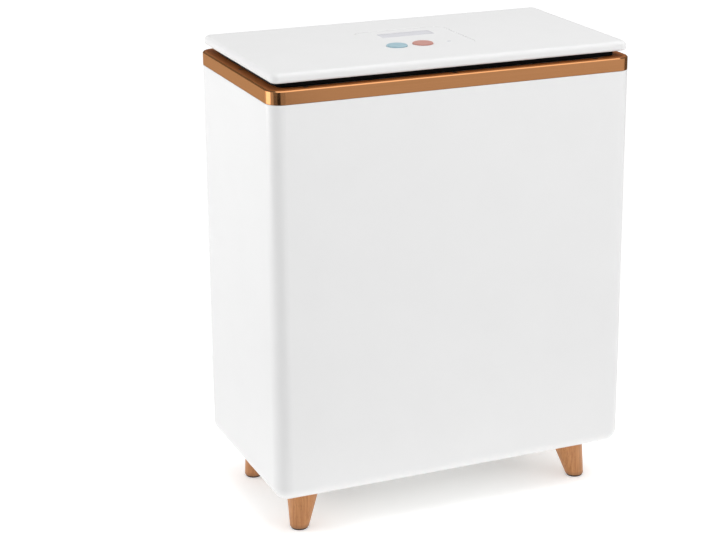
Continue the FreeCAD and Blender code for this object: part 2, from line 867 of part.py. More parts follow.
def make_hinge_leaf(centre, leaf_low, knuckles):
    # a flat leaf with a tongue to each of its own knuckles on the hinge axis
    left = centre - hinge_length / 2
    corner = Vector(left, leaf_front, leaf_low)
    leaf = Part.makeBox(hinge_length, leaf_back - leaf_front, leaf_thickness, corner)
    pieces = []
    for start, stop in knuckles:
        corner = Vector(start, leaf_back, leaf_low)
        pieces.append(Part.makeBox(stop - start, hinge_axis_y - leaf_back, leaf_thickness, corner))
        pieces.append(bar_x(knuckle_radius, start, stop, hinge_axis_y, hinge_axis_z))
    leaf = leaf.multiFuse(pieces)
    right = left + hinge_length
    bore = hinge_pin_radius + hole_clearance
    return leaf.cut(bar_x(bore, left - overcut, right + overcut, hinge_axis_y, hinge_axis_z))


def cut_leaf_holes(leaf, centre, seat, pointing):
    places = [centre + side * hinge_screw_spread for side in (-1, 1)]
    depth = leaf_thickness + overcut
    holes = [hinge_sunk_hole(x, hinge_screw_y, seat, pointing, depth) for x in places]
    return leaf.cut(Part.makeCompound(holes))


def make_hinge_leaf_body(centre):
    half = hinge_length / 2
    inner = lid_knuckle_length / 2 + knuckle_gap
    knuckles = [(centre - half, centre - inner), (centre + inner, centre + half)]
    leaf = make_hinge_leaf(centre, trim_top, knuckles)
    return cut_leaf_holes(leaf, centre, trim_top + leaf_thickness, -1)


def make_hinge_leaf_lid(centre):
    inner = lid_knuckle_length / 2
    leaf_low = lid_low - leaf_thickness
    leaf = make_hinge_leaf(centre, leaf_low, [(centre - inner, centre + inner)])
    return cut_leaf_holes(leaf, centre, leaf_low, 1)


def make_hinge_pin(centre):
    half = hinge_length / 2
    return bar_x(hinge_pin_radius, centre - half, centre + half, hinge_axis_y, hinge_axis_z)


def make_hinge_screws(seat, pointing):
    return [
        flush_screw(
            x,
            y,
            seat,
            pointing,
            hinge_screw_length,
            hinge_screw_radius,
            hinge_screw_head_radius,
            hinge_screw_head_height,
        )
        for x, y in hinge_screw_points
    ]


def make_lid_cover():
    cover = body_block(lid_inset, lid_low, lid_top, lid_corner_radius)
    cover = cover.makeFillet(lid_top_edge_radius, edges_at(cover, lid_top))
    cover = cover.makeFillet(lid_low_edge_radius, edges_at(cover, lid_low))
    hollow_corner = lid_corner_radius - lid_wall
    cover = cover.cut(body_block(lid_inset + lid_wall, lid_low - overcut, lid_ceiling, hollow_corner))
    roots = lid_ceiling + lid_top_thickness / 2
    posts = [pillar(lid_post_radius, lid_flange_top, roots, x, y) for x, y in lid_screw_points]
    posts += [pillar(lid_post_radius, lid_flange_top, roots, x, y) for x, y in hinge_screw_points]
    posts += [pillar(lid_post_radius, display_board_top, roots, x, y) for x, y in display_screw_points]
    cover = cover.multiFuse(posts)
    cuts = [
        screw_hole(x, y, lid_low, 1, lid_screw_length + hole_clearance, screw_radius)
        for x, y in lid_screw_points
    ]
    cuts += [
        screw_hole(x, y, lid_low, 1, hinge_screw_length, hinge_screw_radius) for x, y in hinge_screw_points
    ]
    cuts += [
        screw_hole(x, y, display_board_low, 1, board_screw_length + hole_clearance, screw_radius)
        for x, y in display_screw_points
    ]
    cuts.append(rounded_block(panel_width, panel_depth, panel_radius, fascia_low, lid_top + overcut))
    cuts.append(
        rounded_block(
            panel_width - 2 * panel_ledge,
            panel_depth - 2 * panel_ledge,
            panel_radius - panel_ledge,
            lid_ceiling - overcut,
            lid_top,
        )
    )
    return cover.cut(Part.makeCompound(cuts))


def make_lid_liner():
    tray = liner_block(lid_liner_inset, lid_liner_low, lid_flange_top)
    tray = tray.makeFillet(lid_liner_edge_radius, edges_at(tray, lid_liner_low))
    flange_inset = lid_inset + lid_wall + fit_gap
    flange_corner = lid_corner_radius - lid_wall - fit_gap
    tray = tray.fuse(body_block(flange_inset, lid_low, lid_flange_top, flange_corner))
    hollow = liner_block(lid_liner_inset + lid_liner_wall, lid_liner_floor, lid_flange_top + overcut)
    bottom = edges_at(hollow, lid_liner_floor)
    tray = tray.cut(hollow.makeFillet(lid_liner_edge_radius - lid_liner_wall, bottom))
    cuts = [casing_sunk_hole(x, y, lid_low, 1, lid_screw_length) for x, y in lid_screw_points]
    cuts += [
        screw_hole(x, y, lid_low - overcut, 1, hinge_screw_length, hinge_screw_radius)
        for x, y in hinge_screw_points
    ]
    cuts.append(cable_slot(cable_exit, lid_low - overcut, lid_flange_top + overcut))
    return tray.cut(Part.makeCompound(cuts))


def make_lid_seal():
    low = trim_top + seal_gap
    seal = body_block(seal_inset, low, lid_low, seal_corner_radius)
    hollow_corner = seal_corner_radius - seal_width
    seal = seal.cut(body_block(seal_inset + seal_width, low - overcut, lid_low + overcut, hollow_corner))
    return seal.makeFillet(seal_edge_radius, edges_at(seal, low))


def make_lid_insulation():
    inset = lid_liner_inset + lid_liner_edge_radius
    return liner_block(inset, lid_liner_floor, lid_liner_floor + lid_insulation_thickness)


def make_control_fascia():
    fascia = rounded_block(
        panel_width - 2 * fit_gap, panel_depth - 2 * fit_gap, panel_radius - fit_gap, fascia_low, fascia_top
    )
    low = fascia_low - overcut
    high = fascia_top + overcut
    hole_radius = button_radius + button_clearance
    cuts = [pillar(hole_radius, low, high, x, button_y) for x in button_places.values()]
    cuts.append(pillar(indicator_radius + hole_clearance, low, high, indicator_x, button_y))
    cuts.append(rounded_block(window_width, window_depth, window_radius, lens_low, high, 0.0, window_y))
    width = window_width - 2 * window_ledge
    depth = window_depth - 2 * window_ledge
    cuts.append(rounded_block(width, depth, window_opening_radius, low, high, 0.0, window_y))
    return fascia.cut(Part.makeCompound(cuts))


def make_display_lens():
    return rounded_block(
        window_width - 2 * hole_clearance,
        window_depth - 2 * hole_clearance,
        window_radius - hole_clearance,
        lens_low,
        fascia_top,
        0.0,
        window_y,
    )


def make_led_display():
    # a three-digit module with its face sunk inside a rim
    width, depth, height = display_size
    module = plain_block(display_size, display_board_top, 0.0, window_y)
    face = (width - 2 * display_rim, depth - 2 * display_rim, height)
    face_level = display_board_top + height - display_face_sunk
    return module.cut(plain_block(face, face_level, 0.0, window_y))


def make_indicator_lens():
    pipe = pillar(indicator_radius, display_board_top, fascia_top, indicator_x, button_y)
    collar_radius = indicator_radius + indicator_collar
    collar_low = fascia_low - indicator_collar
    return pipe.fuse(pillar(collar_radius, collar_low, fascia_low, indicator_x, button_y))


def make_display_board():
    board = rounded_block(
        display_board_width, display_board_depth, board_corner, display_board_low, display_board_top
    )
    header = (header_length, header_width, header_height)
    board = board.fuse(plain_block(header, display_board_top, cable_exit, display_header_y))
    holes = [
        screw_hole(x, y, display_board_low - overcut, 1, board_thickness + 2 * overcut, screw_radius)
        for x, y in display_screw_points
    ]
    return board.cut(Part.makeCompound(holes))


def make_tact_switches():
    switches = []
    well_low = switch_top - plunger_engaged - button_travel - plunger_clearance
    well_radius = plunger_radius + plunger_clearance
    for x in button_places.values():
        switch = plain_block((switch_side, switch_side, switch_height), display_board_top, x, button_y)
        well = pillar(well_radius, well_low, switch_top + overcut, x, button_y)
        switches.append(switch.cut(well))
    return switches


def make_plunger(x):
    return pillar(plunger_radius, switch_top - plunger_engaged, plunger_top, x, button_y)


def make_button(x):
    crown = fascia_top + button_proud
    cap = pillar(button_radius, button_flange_low, crown, x, button_y)
    cap = cap.makeFillet(button_crown_radius, edges_at(cap, crown))
    flange = pillar(
        button_radius + button_flange_width, button_flange_low, button_flange_top, x, button_y
    )
    stem = pillar(button_stem_radius, plunger_top, button_flange_low, x, button_y)
    return cap.multiFuse([flange, stem])


def save(name, shape):
    shape.exportStep(os.path.join("parts", name + ".step"))


def save_group(name, shapes):
    save(name, Part.makeCompound(shapes))


os.makedirs("parts", exist_ok=True)

save("outer_shell", make_outer_shell())
save("base_plate", make_base_plate())
save_group("base_screws", [pan_screw(x, y, base_low, 1, screw_length) for x, y in base_screw_points])
for foot_name, (side_x, side_y) in foot_places.items():
    save(foot_name, make_foot(side_x, side_y))
save_group("foot_pads", make_foot_pads())
save_group("foot_bolts", make_foot_bolts())
save_group("foot_nuts", make_foot_nuts())
save("cord_gland", make_cord_gland())
save("gland_nut", make_gland_nut())
save("trim_band", make_trim_band())
save("rim_frame", make_rim_frame())
save_group(
    "rim_screws",
    [
        flush_screw(x, y, trim_top, -1, screw_length, screw_radius, screw_head_radius, screw_head_height)
        for x, y in rim_screw_points
    ],
)
save("inner_liner", make_inner_liner())
save("heater_wrap", make_heater_wrap())
save("heater_base", make_heater_base())
save("insulation_wrap", make_insulation_wrap())
save("insulation_base", make_insulation_base())
save("thermostat", make_thermostat())
save("thermal_fuse", make_thermal_fuse())
save("fuse_clip", make_fuse_clip())
save("temperature_sensor", make_temperature_sensor())
save("power_board", make_power_board())
save_group("board_pillars", make_board_pillars())
save_group(
    "board_screws",
    [pan_screw(x, y, board_top, -1, board_screw_length) for x, y in board_screw_points],
)
save("relay", make_component(relay_size, relay_place))
save("transformer", make_component(transformer_size, transformer_place))
save("filter_capacitor", make_capacitor())
save("terminal_block", make_terminal_block())
save_group("heater_leads", make_heater_leads())
save("sensor_lead", make_sensor_lead())
save("lid_cable_body", make_lid_cable_body())
for side, centre in hinge_centres.items():
    save("hinge_leaf_body_" + side, make_hinge_leaf_body(centre))
    save("hinge_leaf_lid_" + side, make_hinge_leaf_lid(centre))
    save("hinge_pin_" + side, make_hinge_pin(centre))
save_group("hinge_screws_body", make_hinge_screws(trim_top + leaf_thickness, -1))
save_group("hinge_screws_lid", make_hinge_screws(lid_low - leaf_thickness, 1))
save("lid_cover", make_lid_cover())
save("lid_liner", make_lid_liner())
save("lid_seal", make_lid_seal())
save("lid_insulation", make_lid_insulation())
save_group(
    "lid_screws",
    [
        flush_screw(x, y, lid_low, 1, lid_screw_length, screw_radius, screw_head_radius, screw_head_height)
        for x, y in lid_screw_points
    ],
)
save("lid_cable_lid", make_lid_cable_lid())
save("control_fascia", make_control_fascia())
save("display_lens", make_display_lens())
save("led_display", make_led_display())
save("indicator_lens", make_indicator_lens())
save("display_board", make_display_board())
save_group(
    "display_screws",
    [pan_screw(x, y, display_board_low, 1, board_screw_length) for x, y in display_screw_points],
)
save_group("tact_switches", make_tact_switches())
for colour, button_x in button_places.items():
    save(colour + "_button", make_button(button_x))
    save(colour + "_plunger", make_plunger(button_x))
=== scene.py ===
import bmesh
import bpy
import math
from mathutils import Matrix, Vector


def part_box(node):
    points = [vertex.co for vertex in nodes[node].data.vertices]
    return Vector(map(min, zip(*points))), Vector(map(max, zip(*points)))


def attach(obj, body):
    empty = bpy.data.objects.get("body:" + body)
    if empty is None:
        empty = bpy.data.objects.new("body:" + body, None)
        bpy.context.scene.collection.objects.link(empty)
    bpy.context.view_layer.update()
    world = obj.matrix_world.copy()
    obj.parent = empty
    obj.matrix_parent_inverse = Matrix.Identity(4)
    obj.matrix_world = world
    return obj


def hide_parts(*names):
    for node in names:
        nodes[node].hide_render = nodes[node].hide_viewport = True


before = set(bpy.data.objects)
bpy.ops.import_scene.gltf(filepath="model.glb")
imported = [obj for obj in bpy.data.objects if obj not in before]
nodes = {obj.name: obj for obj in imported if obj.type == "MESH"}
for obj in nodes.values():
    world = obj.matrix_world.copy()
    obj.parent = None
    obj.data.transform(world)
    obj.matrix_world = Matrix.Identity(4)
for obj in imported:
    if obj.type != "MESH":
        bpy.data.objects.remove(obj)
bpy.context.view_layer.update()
scene = bpy.context.scene
mm = 0.001  # pieces have their sizes in millimetres; the frame and the studio are in metres
mergeDistance = 0.001 * mm
print("frame:", len(nodes), "solids loaded")

# Camera at the photograph's angle

camera = {
    "aim": (0.0, 0.0, 0.2975),
    "distance": 2.058,
    "azimuth": -24.05,  # from the front towards the left side
    "elevation": 17.0,
    "focalPixels": 1916.0,
    "imageWidth": 716,
    "sensor": 36.0,
    "shiftX": -0.0783,
    "shiftY": -0.07,
    "clipStart": 0.05,
    "clipEnd": 100.0,
}


def makeCamera():
    data = bpy.data.cameras.new("studioCamera")
    data.sensor_width = camera["sensor"]
    data.lens = camera["focalPixels"] * camera["sensor"] / camera["imageWidth"]
    data.shift_x = camera["shiftX"]
    data.shift_y = camera["shiftY"]
    data.clip_start = camera["clipStart"]
    data.clip_end = camera["clipEnd"]
    turn = math.radians(camera["azimuth"])
    tilt = math.radians(camera["elevation"])
    back = Vector((math.sin(turn) * math.cos(tilt), -math.cos(turn) * math.cos(tilt), math.sin(tilt)))
    eye = bpy.data.objects.new("studioCamera", data)
    eye.location = Vector(camera["aim"]) + back * camera["distance"]
    eye.rotation_euler = (-back).to_track_quat("-Z", "Y").to_euler()
    scene.collection.objects.link(eye)
    scene.camera = eye


makeCamera()
scene.view_settings.view_transform = "Standard"
print("camera: placed")


# Material helpers: colours, sizes, one function that adds a node, and two that open and close a node tree


def linear(hexCode):
    parts = [int(hexCode[i:i + 2], 16) / 255 for i in (1, 3, 5)]
    return tuple(p / 12.92 if p <= 0.04045 else ((p + 0.055) / 1.055) ** 2.4 for p in parts) + (1.0,)


def addNode(material, kind, sockets=None, **settings):
    tree = material.node_tree
    node = tree.nodes.new("ShaderNode" + kind)
    for name, value in settings.items():
        setattr(node, name, value)
    for name, value in (sockets or {}).items():
        if isinstance(value, bpy.types.NodeSocket):
            tree.links.new(value, node.inputs[name])
        else:
            node.inputs[name].default_value = value
    return node


def perMm(size):
    return 1.0 / (size * mm)


def startMaterial(name):
    material = bpy.data.materials.new(name)
    material.use_nodes = True
    material.node_tree.nodes.clear()
    return material, addNode(material, "TexCoord").outputs["Object"]


def finishMaterial(material, sockets):
    shader = addNode(material, "BsdfPrincipled", sockets)
    addNode(material, "OutputMaterial", {"Surface": shader.outputs[0]})
    return material


plastic = {"cloudSize": 45.0, "swing": 0.04, "bump": 0.5, "ior": 1.53}


def mouldedPlastic(name, hexes, roughness, grain, depth, **constants):
    # spark-eroded tool: an even grain that breaks up the gloss, and a faint flow cloud in the colour
    # the real grain is too fine to show, so grain is coarser than life
    material, place = startMaterial(name)
    swing = constants.get("swing", plastic["swing"])
    cloud = addNode(
        material, "TexNoise", {"Vector": place, "Scale": perMm(plastic["cloudSize"]), "Detail": 2.0}
    )
    tint = addNode(
        material, "Mix", {0: cloud.outputs[0], 6: linear(hexes[0]), 7: linear(hexes[1])}, data_type="RGBA"
    )
    spark = addNode(material, "TexNoise", {"Vector": place, "Scale": perMm(grain), "Detail": 3.0})
    gloss = addNode(
        material,
        "MapRange",
        {"Value": spark.outputs[0], "To Min": roughness - swing, "To Max": roughness + swing},
    )
    bump = addNode(
        material, "Bump", {"Height": spark.outputs[0], "Strength": plastic["bump"], "Distance": depth * mm}
    )
    sockets = {
        "Base Color": tint.outputs[2],
        "Roughness": gloss.outputs[0],
        "Normal": bump.outputs[0],
        "IOR": constants.get("ior", plastic["ior"]),
        "Coat Weight": constants.get("coat", 0.0),
        "Alpha": constants.get("alpha", 1.0),
    }
    return finishMaterial(material, sockets)


metal = {"swing": 0.05, "bump": 0.4}


def brushedMetal(name, hexes, roughness, stroke, depth, edge="#ffffff"):
    # lines that stretch the reflections: stroke is one line's size along x, y and z, long one way
    # real brush lines are too fine to show, so they are drawn wider than life
    material, place = startMaterial(name)
    stretch = addNode(material, "Mapping", {"Vector": place, "Scale": tuple(perMm(s) for s in stroke)})
    line = addNode(
        material, "TexNoise", {"Vector": stretch.outputs[0], "Scale": 1.0, "Detail": 3.0, "Roughness": 0.65}
    )
    tint = addNode(
        material, "Mix", {0: line.outputs[0], 6: linear(hexes[0]), 7: linear(hexes[1])}, data_type="RGBA"
    )
    gloss = addNode(
        material,
        "MapRange",
        {
            "Value": line.outputs[0],
            "To Min": roughness - metal["swing"],
            "To Max": roughness + metal["swing"],
        },
    )
    bump = addNode(
        material, "Bump", {"Height": line.outputs[0], "Strength": metal["bump"], "Distance": depth * mm}
    )
    sockets = {
        "Base Color": tint.outputs[2],
        "Metallic": 1.0,
        "Roughness": gloss.outputs[0],
        "Normal": bump.outputs[0],
        "Specular Tint": linear(edge),
    }
    return finishMaterial(material, sockets)


def turnedBeech(name, spec):
    # straight long grain down the foot, with the short dark flecks that beech shows, under satin lacquer
    material, place = startMaterial(name)
    drift = addNode(material, "TexNoise", {"Vector": place, "Scale": perMm(spec["drift"]), "Detail": 1.0})
    wander = addNode(
        material,
        "VectorMath",
        {0: drift.outputs[1], 1: (spec["wander"] * mm, spec["wander"] * mm, 0.0)},
        operation="MULTIPLY",
    )
    bent = addNode(material, "VectorMath", {0: place, 1: wander.outputs[0]})
    grainSize = (spec["grainAcross"], spec["grainAcross"], spec["grainAlong"])
    stretch = addNode(
        material, "Mapping", {"Vector": bent.outputs[0], "Scale": tuple(perMm(s) for s in grainSize)}
    )
    grain = addNode(
        material, "TexNoise", {"Vector": stretch.outputs[0], "Scale": 1.0, "Detail": 4.0, "Roughness": 0.6}
    )
    grainLow, grainHigh = spec["grainRange"]
    grown = addNode(
        material, "MapRange", {"Value": grain.outputs[0], "From Min": grainLow, "From Max": grainHigh}
    )
    wood = addNode(
        material,
        "Mix",
        {0: grown.outputs[0], 6: linear(spec["dark"]), 7: linear(spec["light"])},
        data_type="RGBA",
    )
    fleckSize = (spec["fleckAcross"], spec["fleckAcross"], spec["fleckAlong"])
    fleckPlace = addNode(
        material, "Mapping", {"Vector": bent.outputs[0], "Scale": tuple(perMm(s) for s in fleckSize)}
    )
    fleck = addNode(
        material, "TexVoronoi", {"Vector": fleckPlace.outputs[0], "Scale": 1.0}, feature="F1"
    )
    fleckInside, fleckOutside = spec["fleckEdge"]
    fleckMask = addNode(
        material,
        "MapRange",
        {
            "Value": fleck.outputs["Distance"],
            "From Min": fleckInside,
            "From Max": fleckOutside,
            "To Min": spec["fleckStrength"],
            "To Max": 0.0,
        },
    )
    flecked = addNode(
        material,
        "Mix",
        {0: fleckMask.outputs[0], 6: wood.outputs[2], 7: linear(spec["fleck"])},
        data_type="RGBA",
    )
    # darker towards the bottom of the foot: full strength below the first height, fading out by the second
    height = addNode(material, "SeparateXYZ", {0: place})
    lowDarkening = addNode(
        material,
        "MapRange",
        {
            "Value": height.outputs[2],
            "From Min": spec["lowDarkeningFull"] * mm,
            "From Max": spec["lowDarkeningEnd"] * mm,
            "To Min": spec["lowDarkeningStrength"],
            "To Max": 0.0,
        },
    )
    darkenedLow = addNode(
        material,
        "Mix",
        {0: lowDarkening.outputs[0], 6: flecked.outputs[2], 7: linear(spec["lowDarkening"])},
        data_type="RGBA",
    )
    dull, shiny = spec["roughness"]
    gloss = addNode(material, "MapRange", {"Value": grain.outputs[0], "To Min": dull, "To Max": shiny})
    bump = addNode(
        material,
        "Bump",
        {"Height": grain.outputs[0], "Strength": spec["bump"], "Distance": spec["depth"] * mm},
    )
    sockets = {
        "Base Color": darkenedLow.outputs[2],
        "Roughness": gloss.outputs[0],
        "Normal": bump.outputs[0],
        "IOR": spec["ior"],
        "Coat Weight": spec["lacquer"],
        "Coat Roughness": spec["lacquerRoughness"],
    }
    return finishMaterial(material, sockets)


def fibreFelt(name, hexes, fibre, depth):
    # needled fibres: a soft broken surface with no gloss
    material, place = startMaterial(name)
    fuzz = addNode(
        material, "TexNoise", {"Vector": place, "Scale": perMm(fibre), "Detail": 5.0, "Distortion": 1.5}
    )
    tint = addNode(
        material, "Mix", {0: fuzz.outputs[0], 6: linear(hexes[0]), 7: linear(hexes[1])}, data_type="RGBA"
    )
    bump = addNode(material, "Bump", {"Height": fuzz.outputs[0], "Strength": 0.8, "Distance": depth * mm})
    sockets = {
        "Base Color": tint.outputs[2],
        "Roughness": 0.95,
        "Normal": bump.outputs[0],
        "Sheen Weight": 0.2,
    }
    return finishMaterial(material, sockets)


sheet = {
    "phaseAcross": 10.0 * math.sqrt(2.0),  # radians per metre across a flat sheet, at a scale of 1
    "ridge": 0.2,
    "bump": 0.3,
}


def bandedSheet(name, hexes, pitch, roughness):
    # even lines across the piece: heating wire in its mat, tape round a winding, tracks under a mask
    material, place = startMaterial(name)
    scale = perMm(pitch) * math.tau / sheet["phaseAcross"]
    lines = addNode(
        material,
        "TexWave",
        {"Vector": place, "Scale": scale, "Distortion": 0.6, "Detail": 1.0},
        bands_direction="DIAGONAL",
    )
    tint = addNode(
        material, "Mix", {0: lines.outputs[1], 6: linear(hexes[0]), 7: linear(hexes[1])}, data_type="RGBA"
    )
    bump = addNode(
        material,
        "Bump",
        {"Height": lines.outputs[1], "Strength": sheet["bump"], "Distance": sheet["ridge"] * mm},
    )
    sockets = {
        "Base Color": tint.outputs[2],
        "Roughness": roughness,
        "Normal": bump.outputs[0],
    }
    return finishMaterial(material, sockets)


beechSpec = {
    "light": "#c68a51",
    "dark": "#ab6c39",
    "fleck": "#8f5c34",
    "lowDarkening": "#7a5236",
    "grainAcross": 1.6,
    "grainAlong": 38.0,
    "fleckAcross": 1.3,
    "fleckAlong": 6.5,
    "drift": 30.0,
    "wander": 3.0,
    "lowDarkeningFull": 1.5,
    "lowDarkeningEnd": 7.0,
    "grainRange": (0.32, 0.68),
    "fleckEdge": (0.12, 0.26),
    "fleckStrength": 0.55,
    "lowDarkeningStrength": 0.6,
    "roughness": (0.52, 0.36),
    "bump": 0.35,
    "depth": 0.12,
    "ior": 1.5,
    "lacquer": 0.1,
    "lacquerRoughness": 0.3,
}

finishes = {
    # moulded ABS, clean white: an even low gloss on the shell, duller on the lid and its panel
    "whiteAbs": mouldedPlastic("whiteAbs", ("#e3e3e3", "#e6e6e6"), 0.36, 0.9, 0.008, swing=0.02),
    "whiteAbsSatin": mouldedPlastic(
        "whiteAbsSatin", ("#e3e3e3", "#e6e6e6"), 0.5, 0.9, 0.002, swing=0.01, ior=1.47
    ),
    # moulded polypropylene: waxy and a little greyer
    "whitePolypropylene": mouldedPlastic("whitePolypropylene", ("#d5d5d2", "#dcdcda"), 0.48, 1.2, 0.04),
    # anodised strip in a copper tone: a warm mirror with fine lines along the band
    "copperAnodised": brushedMetal(
        "copperAnodised", ("#956841", "#a77550"), 0.13, (160.0, 160.0, 0.5), 0.006, edge="#e6d0bf"
    ),
    # moulded nylon: dull and dry, black on the gland and copper brown on the rim
    "blackNylon": mouldedPlastic("blackNylon", ("#0e0d0d", "#171515"), 0.45, 0.7, 0.05),
    "brownNylon": mouldedPlastic("brownNylon", ("#a06031", "#ac6a39"), 0.7, 0.7, 0.05, ior=1.2),
    # drawn aluminium: pale, with soft upright streaks
    "drawnAluminium": brushedMetal(
        "drawnAluminium", ("#dcdedf", "#ecedee"), 0.34, (0.9, 0.9, 140.0), 0.012
    ),
    # moulded silicone: a deep black with hardly any shine
    "blackSilicone": mouldedPlastic("blackSilicone", ("#121212", "#1b1b1b"), 0.85, 0.6, 0.03, ior=1.12),
    # turned beech: warm long grain with flecks, on pads of fuzzy dark felt
    "beech": turnedBeech("beech", beechSpec),
    "feltRubber": fibreFelt("feltRubber", ("#2f2620", "#4a3d33"), 0.7, 0.25),
    # zinc plate with short grey brush marks, and blackened screws with a soft shine
    "zincSteel": brushedMetal("zincSteel", ("#a4a5a8", "#bdbec0"), 0.33, (0.8, 8.0, 0.8), 0.01),
    "blackSteel": mouldedPlastic("blackSteel", ("#101012", "#1c1c1f"), 0.4, 0.4, 0.02),
    # heating mats whose wire shows as lines, and cream glass wool without gloss
    "heaterSilicone": bandedSheet("heaterSilicone", ("#a84520", "#c2592c"), 6.0, 0.6),
    "glassFibre": fibreFelt("glassFibre", ("#cfc7b0", "#e6dfcb"), 1.5, 0.6),
    # electrical pieces: dark phenolic, drawn brass, laminate with tracks, moulded cases, a taped winding
    "phenolic": mouldedPlastic("phenolic", ("#1f1611", "#2b1f18"), 0.5, 0.5, 0.03),
    "drawnBrass": brushedMetal("drawnBrass", ("#a88a45", "#c4a75e"), 0.3, (0.5, 0.5, 6.0), 0.01),
    "boardLaminate": bandedSheet("boardLaminate", ("#0f3d22", "#175231"), 2.5, 0.35),
    "componentBlack": mouldedPlastic("componentBlack", ("#151517", "#1d1d20"), 0.5, 0.5, 0.03),
    "componentBlue": mouldedPlastic("componentBlue", ("#1c3a86", "#234795"), 0.25, 0.8, 0.01, coat=0.3),
    "transformerTape": bandedSheet("transformerTape", ("#b9982c", "#cdae43"), 4.0, 0.4),
    "terminalGreen": mouldedPlastic("terminalGreen", ("#1f6b38", "#28793f"), 0.4, 0.6, 0.02),
    # extruded jackets of leads and cables: smooth, with a soft shine
    "leadRed": mouldedPlastic("leadRed", ("#7d1d14", "#90261a"), 0.5, 0.4, 0.02),
    "cableBlack": mouldedPlastic("cableBlack", ("#131313", "#1d1d1d"), 0.55, 0.4, 0.02),
    # polished acrylic that lets the pale display show faintly, and buttons in soft pastel ABS
    "lensAcrylic": mouldedPlastic(
        "lensAcrylic", ("#f2f2f9", "#f5f5fa"), 0.12, 4.0, 0.003, ior=1.49, coat=0.2, alpha=0.8
    ),
    "displayFace": mouldedPlastic("displayFace", ("#f0f0f6", "#f4f4f8"), 0.45, 0.6, 0.01),
    "displaySegment": mouldedPlastic("displaySegment", ("#c3c4d2", "#cbccd9"), 0.4, 0.6, 0.01),
    "buttonBlue": mouldedPlastic("buttonBlue", ("#98b8c4", "#a3c2cd"), 0.34, 0.7, 0.01),
    "buttonRed": mouldedPlastic("buttonRed", ("#bf8478", "#c98f83"), 0.34, 0.7, 0.01),
}
print("materials:", len(finishes), "finishes")

# CAD pieces that keep their solids, by finish

solidFinishes = {
    "whiteAbs": ["outer_shell"],
    "whitePolypropylene": ["base_plate", "board_pillars"],
    "blackNylon": ["cord_gland", "gland_nut"],
    "brownNylon": ["rim_frame"],
    "zincSteel": [
        "foot_bolts", "foot_nuts", "fuse_clip", "board_screws", "display_screws", "lid_screws",
        "hinge_leaf_body_left", "hinge_leaf_body_right", "hinge_leaf_lid_left", "hinge_leaf_lid_right",
        "hinge_pin_left", "hinge_pin_right",
    ],
    "heaterSilicone": ["heater_wrap", "heater_base"],
    "glassFibre": ["insulation_wrap", "insulation_base", "lid_insulation"],
    "phenolic": ["thermostat"],
    "drawnBrass": ["thermal_fuse", "temperature_sensor"],
    "boardLaminate": ["power_board", "display_board"],
    "componentBlack": ["filter_capacitor", "tact_switches", "blue_plunger", "red_plunger"],
    "componentBlue": ["relay"],
    "transformerTape": ["transformer"],
    "terminalGreen": ["terminal_block"],
    "leadRed": ["heater_leads"],
    "cableBlack": ["sensor_lead", "lid_cable_body", "lid_cable_lid"],
    "displayFace": ["led_display"],
}
for finishName, nodeNames in solidFinishes.items():
    for nodeName in nodeNames:
        slots = nodes[nodeName].data.materials
        slots.clear()
        slots.append(finishes[finishName])
print("solids:", sum(len(names) for names in solidFinishes.values()), "dressed")


# Mesh helpers: lofts through rounded outlines, turned shapes, and the finished piece


def firstOutline(bm, level, x, y, segments):
    halfX, halfY, radius, z = level
    if halfX == halfY == radius:
        made = bmesh.ops.create_circle(
            bm, cap_ends=False, segments=4 * segments, radius=radius, matrix=Matrix.Translation((x, y, z))
        )
        return list({e for v in made["verts"] for e in v.link_edges})
    kept = set(bm.edges)
    signs = ((-1, -1), (1, -1), (1, 1), (-1, 1))
    corners = [bm.verts.new((x + sx * halfX, y + sy * halfY, z)) for sx, sy in signs]
    bm.faces.new(corners)
    bmesh.ops.bevel(
        bm, geom=corners, offset=radius, segments=segments, profile=0.5, affect="VERTICES", material=-1
    )
    outline = [e for e in bm.edges if e not in kept]
    bmesh.ops.delete(bm, geom=list({f for e in outline for f in e.link_faces}), context="FACES_ONLY")
    return outline


cornerStart = 0.999  # share of an outline's straight half past which a point belongs to the corner


def movedAlong(value, half, radius, newHalf, newRadius):
    # keeps a point's turn round its corner while the outline grows or shrinks
    core = half - radius
    held = max(-core, min(core, value))
    newHeld = math.copysign(newHalf - newRadius, held) if abs(held) > cornerStart * core else held
    return newHeld + (value - held) * newRadius / radius


def loft(bm, levels, x=0.0, y=0.0, segments=10, closed=False):
    # each level is (halfX, halfY, radius, z) in metres; a round one has all three sizes alike
    outlines = [firstOutline(bm, levels[0], x, y, segments)]
    firstVerts = {v for e in outlines[0] for v in e.verts}
    route = levels + levels[:1] if closed else levels
    for old, new in zip(route, route[1:]):
        made = bmesh.ops.extrude_edge_only(bm, edges=outlines[-1])["geom"]
        for v in [g for g in made if isinstance(g, bmesh.types.BMVert)]:
            v.co.x = x + movedAlong(v.co.x - x, old[0], old[2], new[0], new[2])
            v.co.y = y + movedAlong(v.co.y - y, old[1], old[2], new[1], new[2])
            v.co.z = new[3]
        outlines.append([g for g in made if isinstance(g, bmesh.types.BMEdge) and g.is_boundary])
    if closed:
        lastVerts = {v for e in outlines.pop() for v in e.verts}
        pairs = {v: min(firstVerts, key=lambda w: (w.co - v.co).length) for v in lastVerts}
        bmesh.ops.weld_verts(bm, targetmap=pairs)
        around = {e for v in firstVerts for e in v.link_edges}
        outlines[0] = [e for e in around if set(e.verts) <= firstVerts]
    bmesh.ops.recalc_face_normals(bm, faces=bm.faces[:])
    return outlines


def capOutline(bm, outline):
    bmesh.ops.edgeloop_fill(bm, edges=outline)


def roundEdges(bm, loop, radius, segments):
    bmesh.ops.bevel(
        bm, geom=loop, offset=radius, segments=segments, profile=0.5, affect="EDGES", material=-1
    )


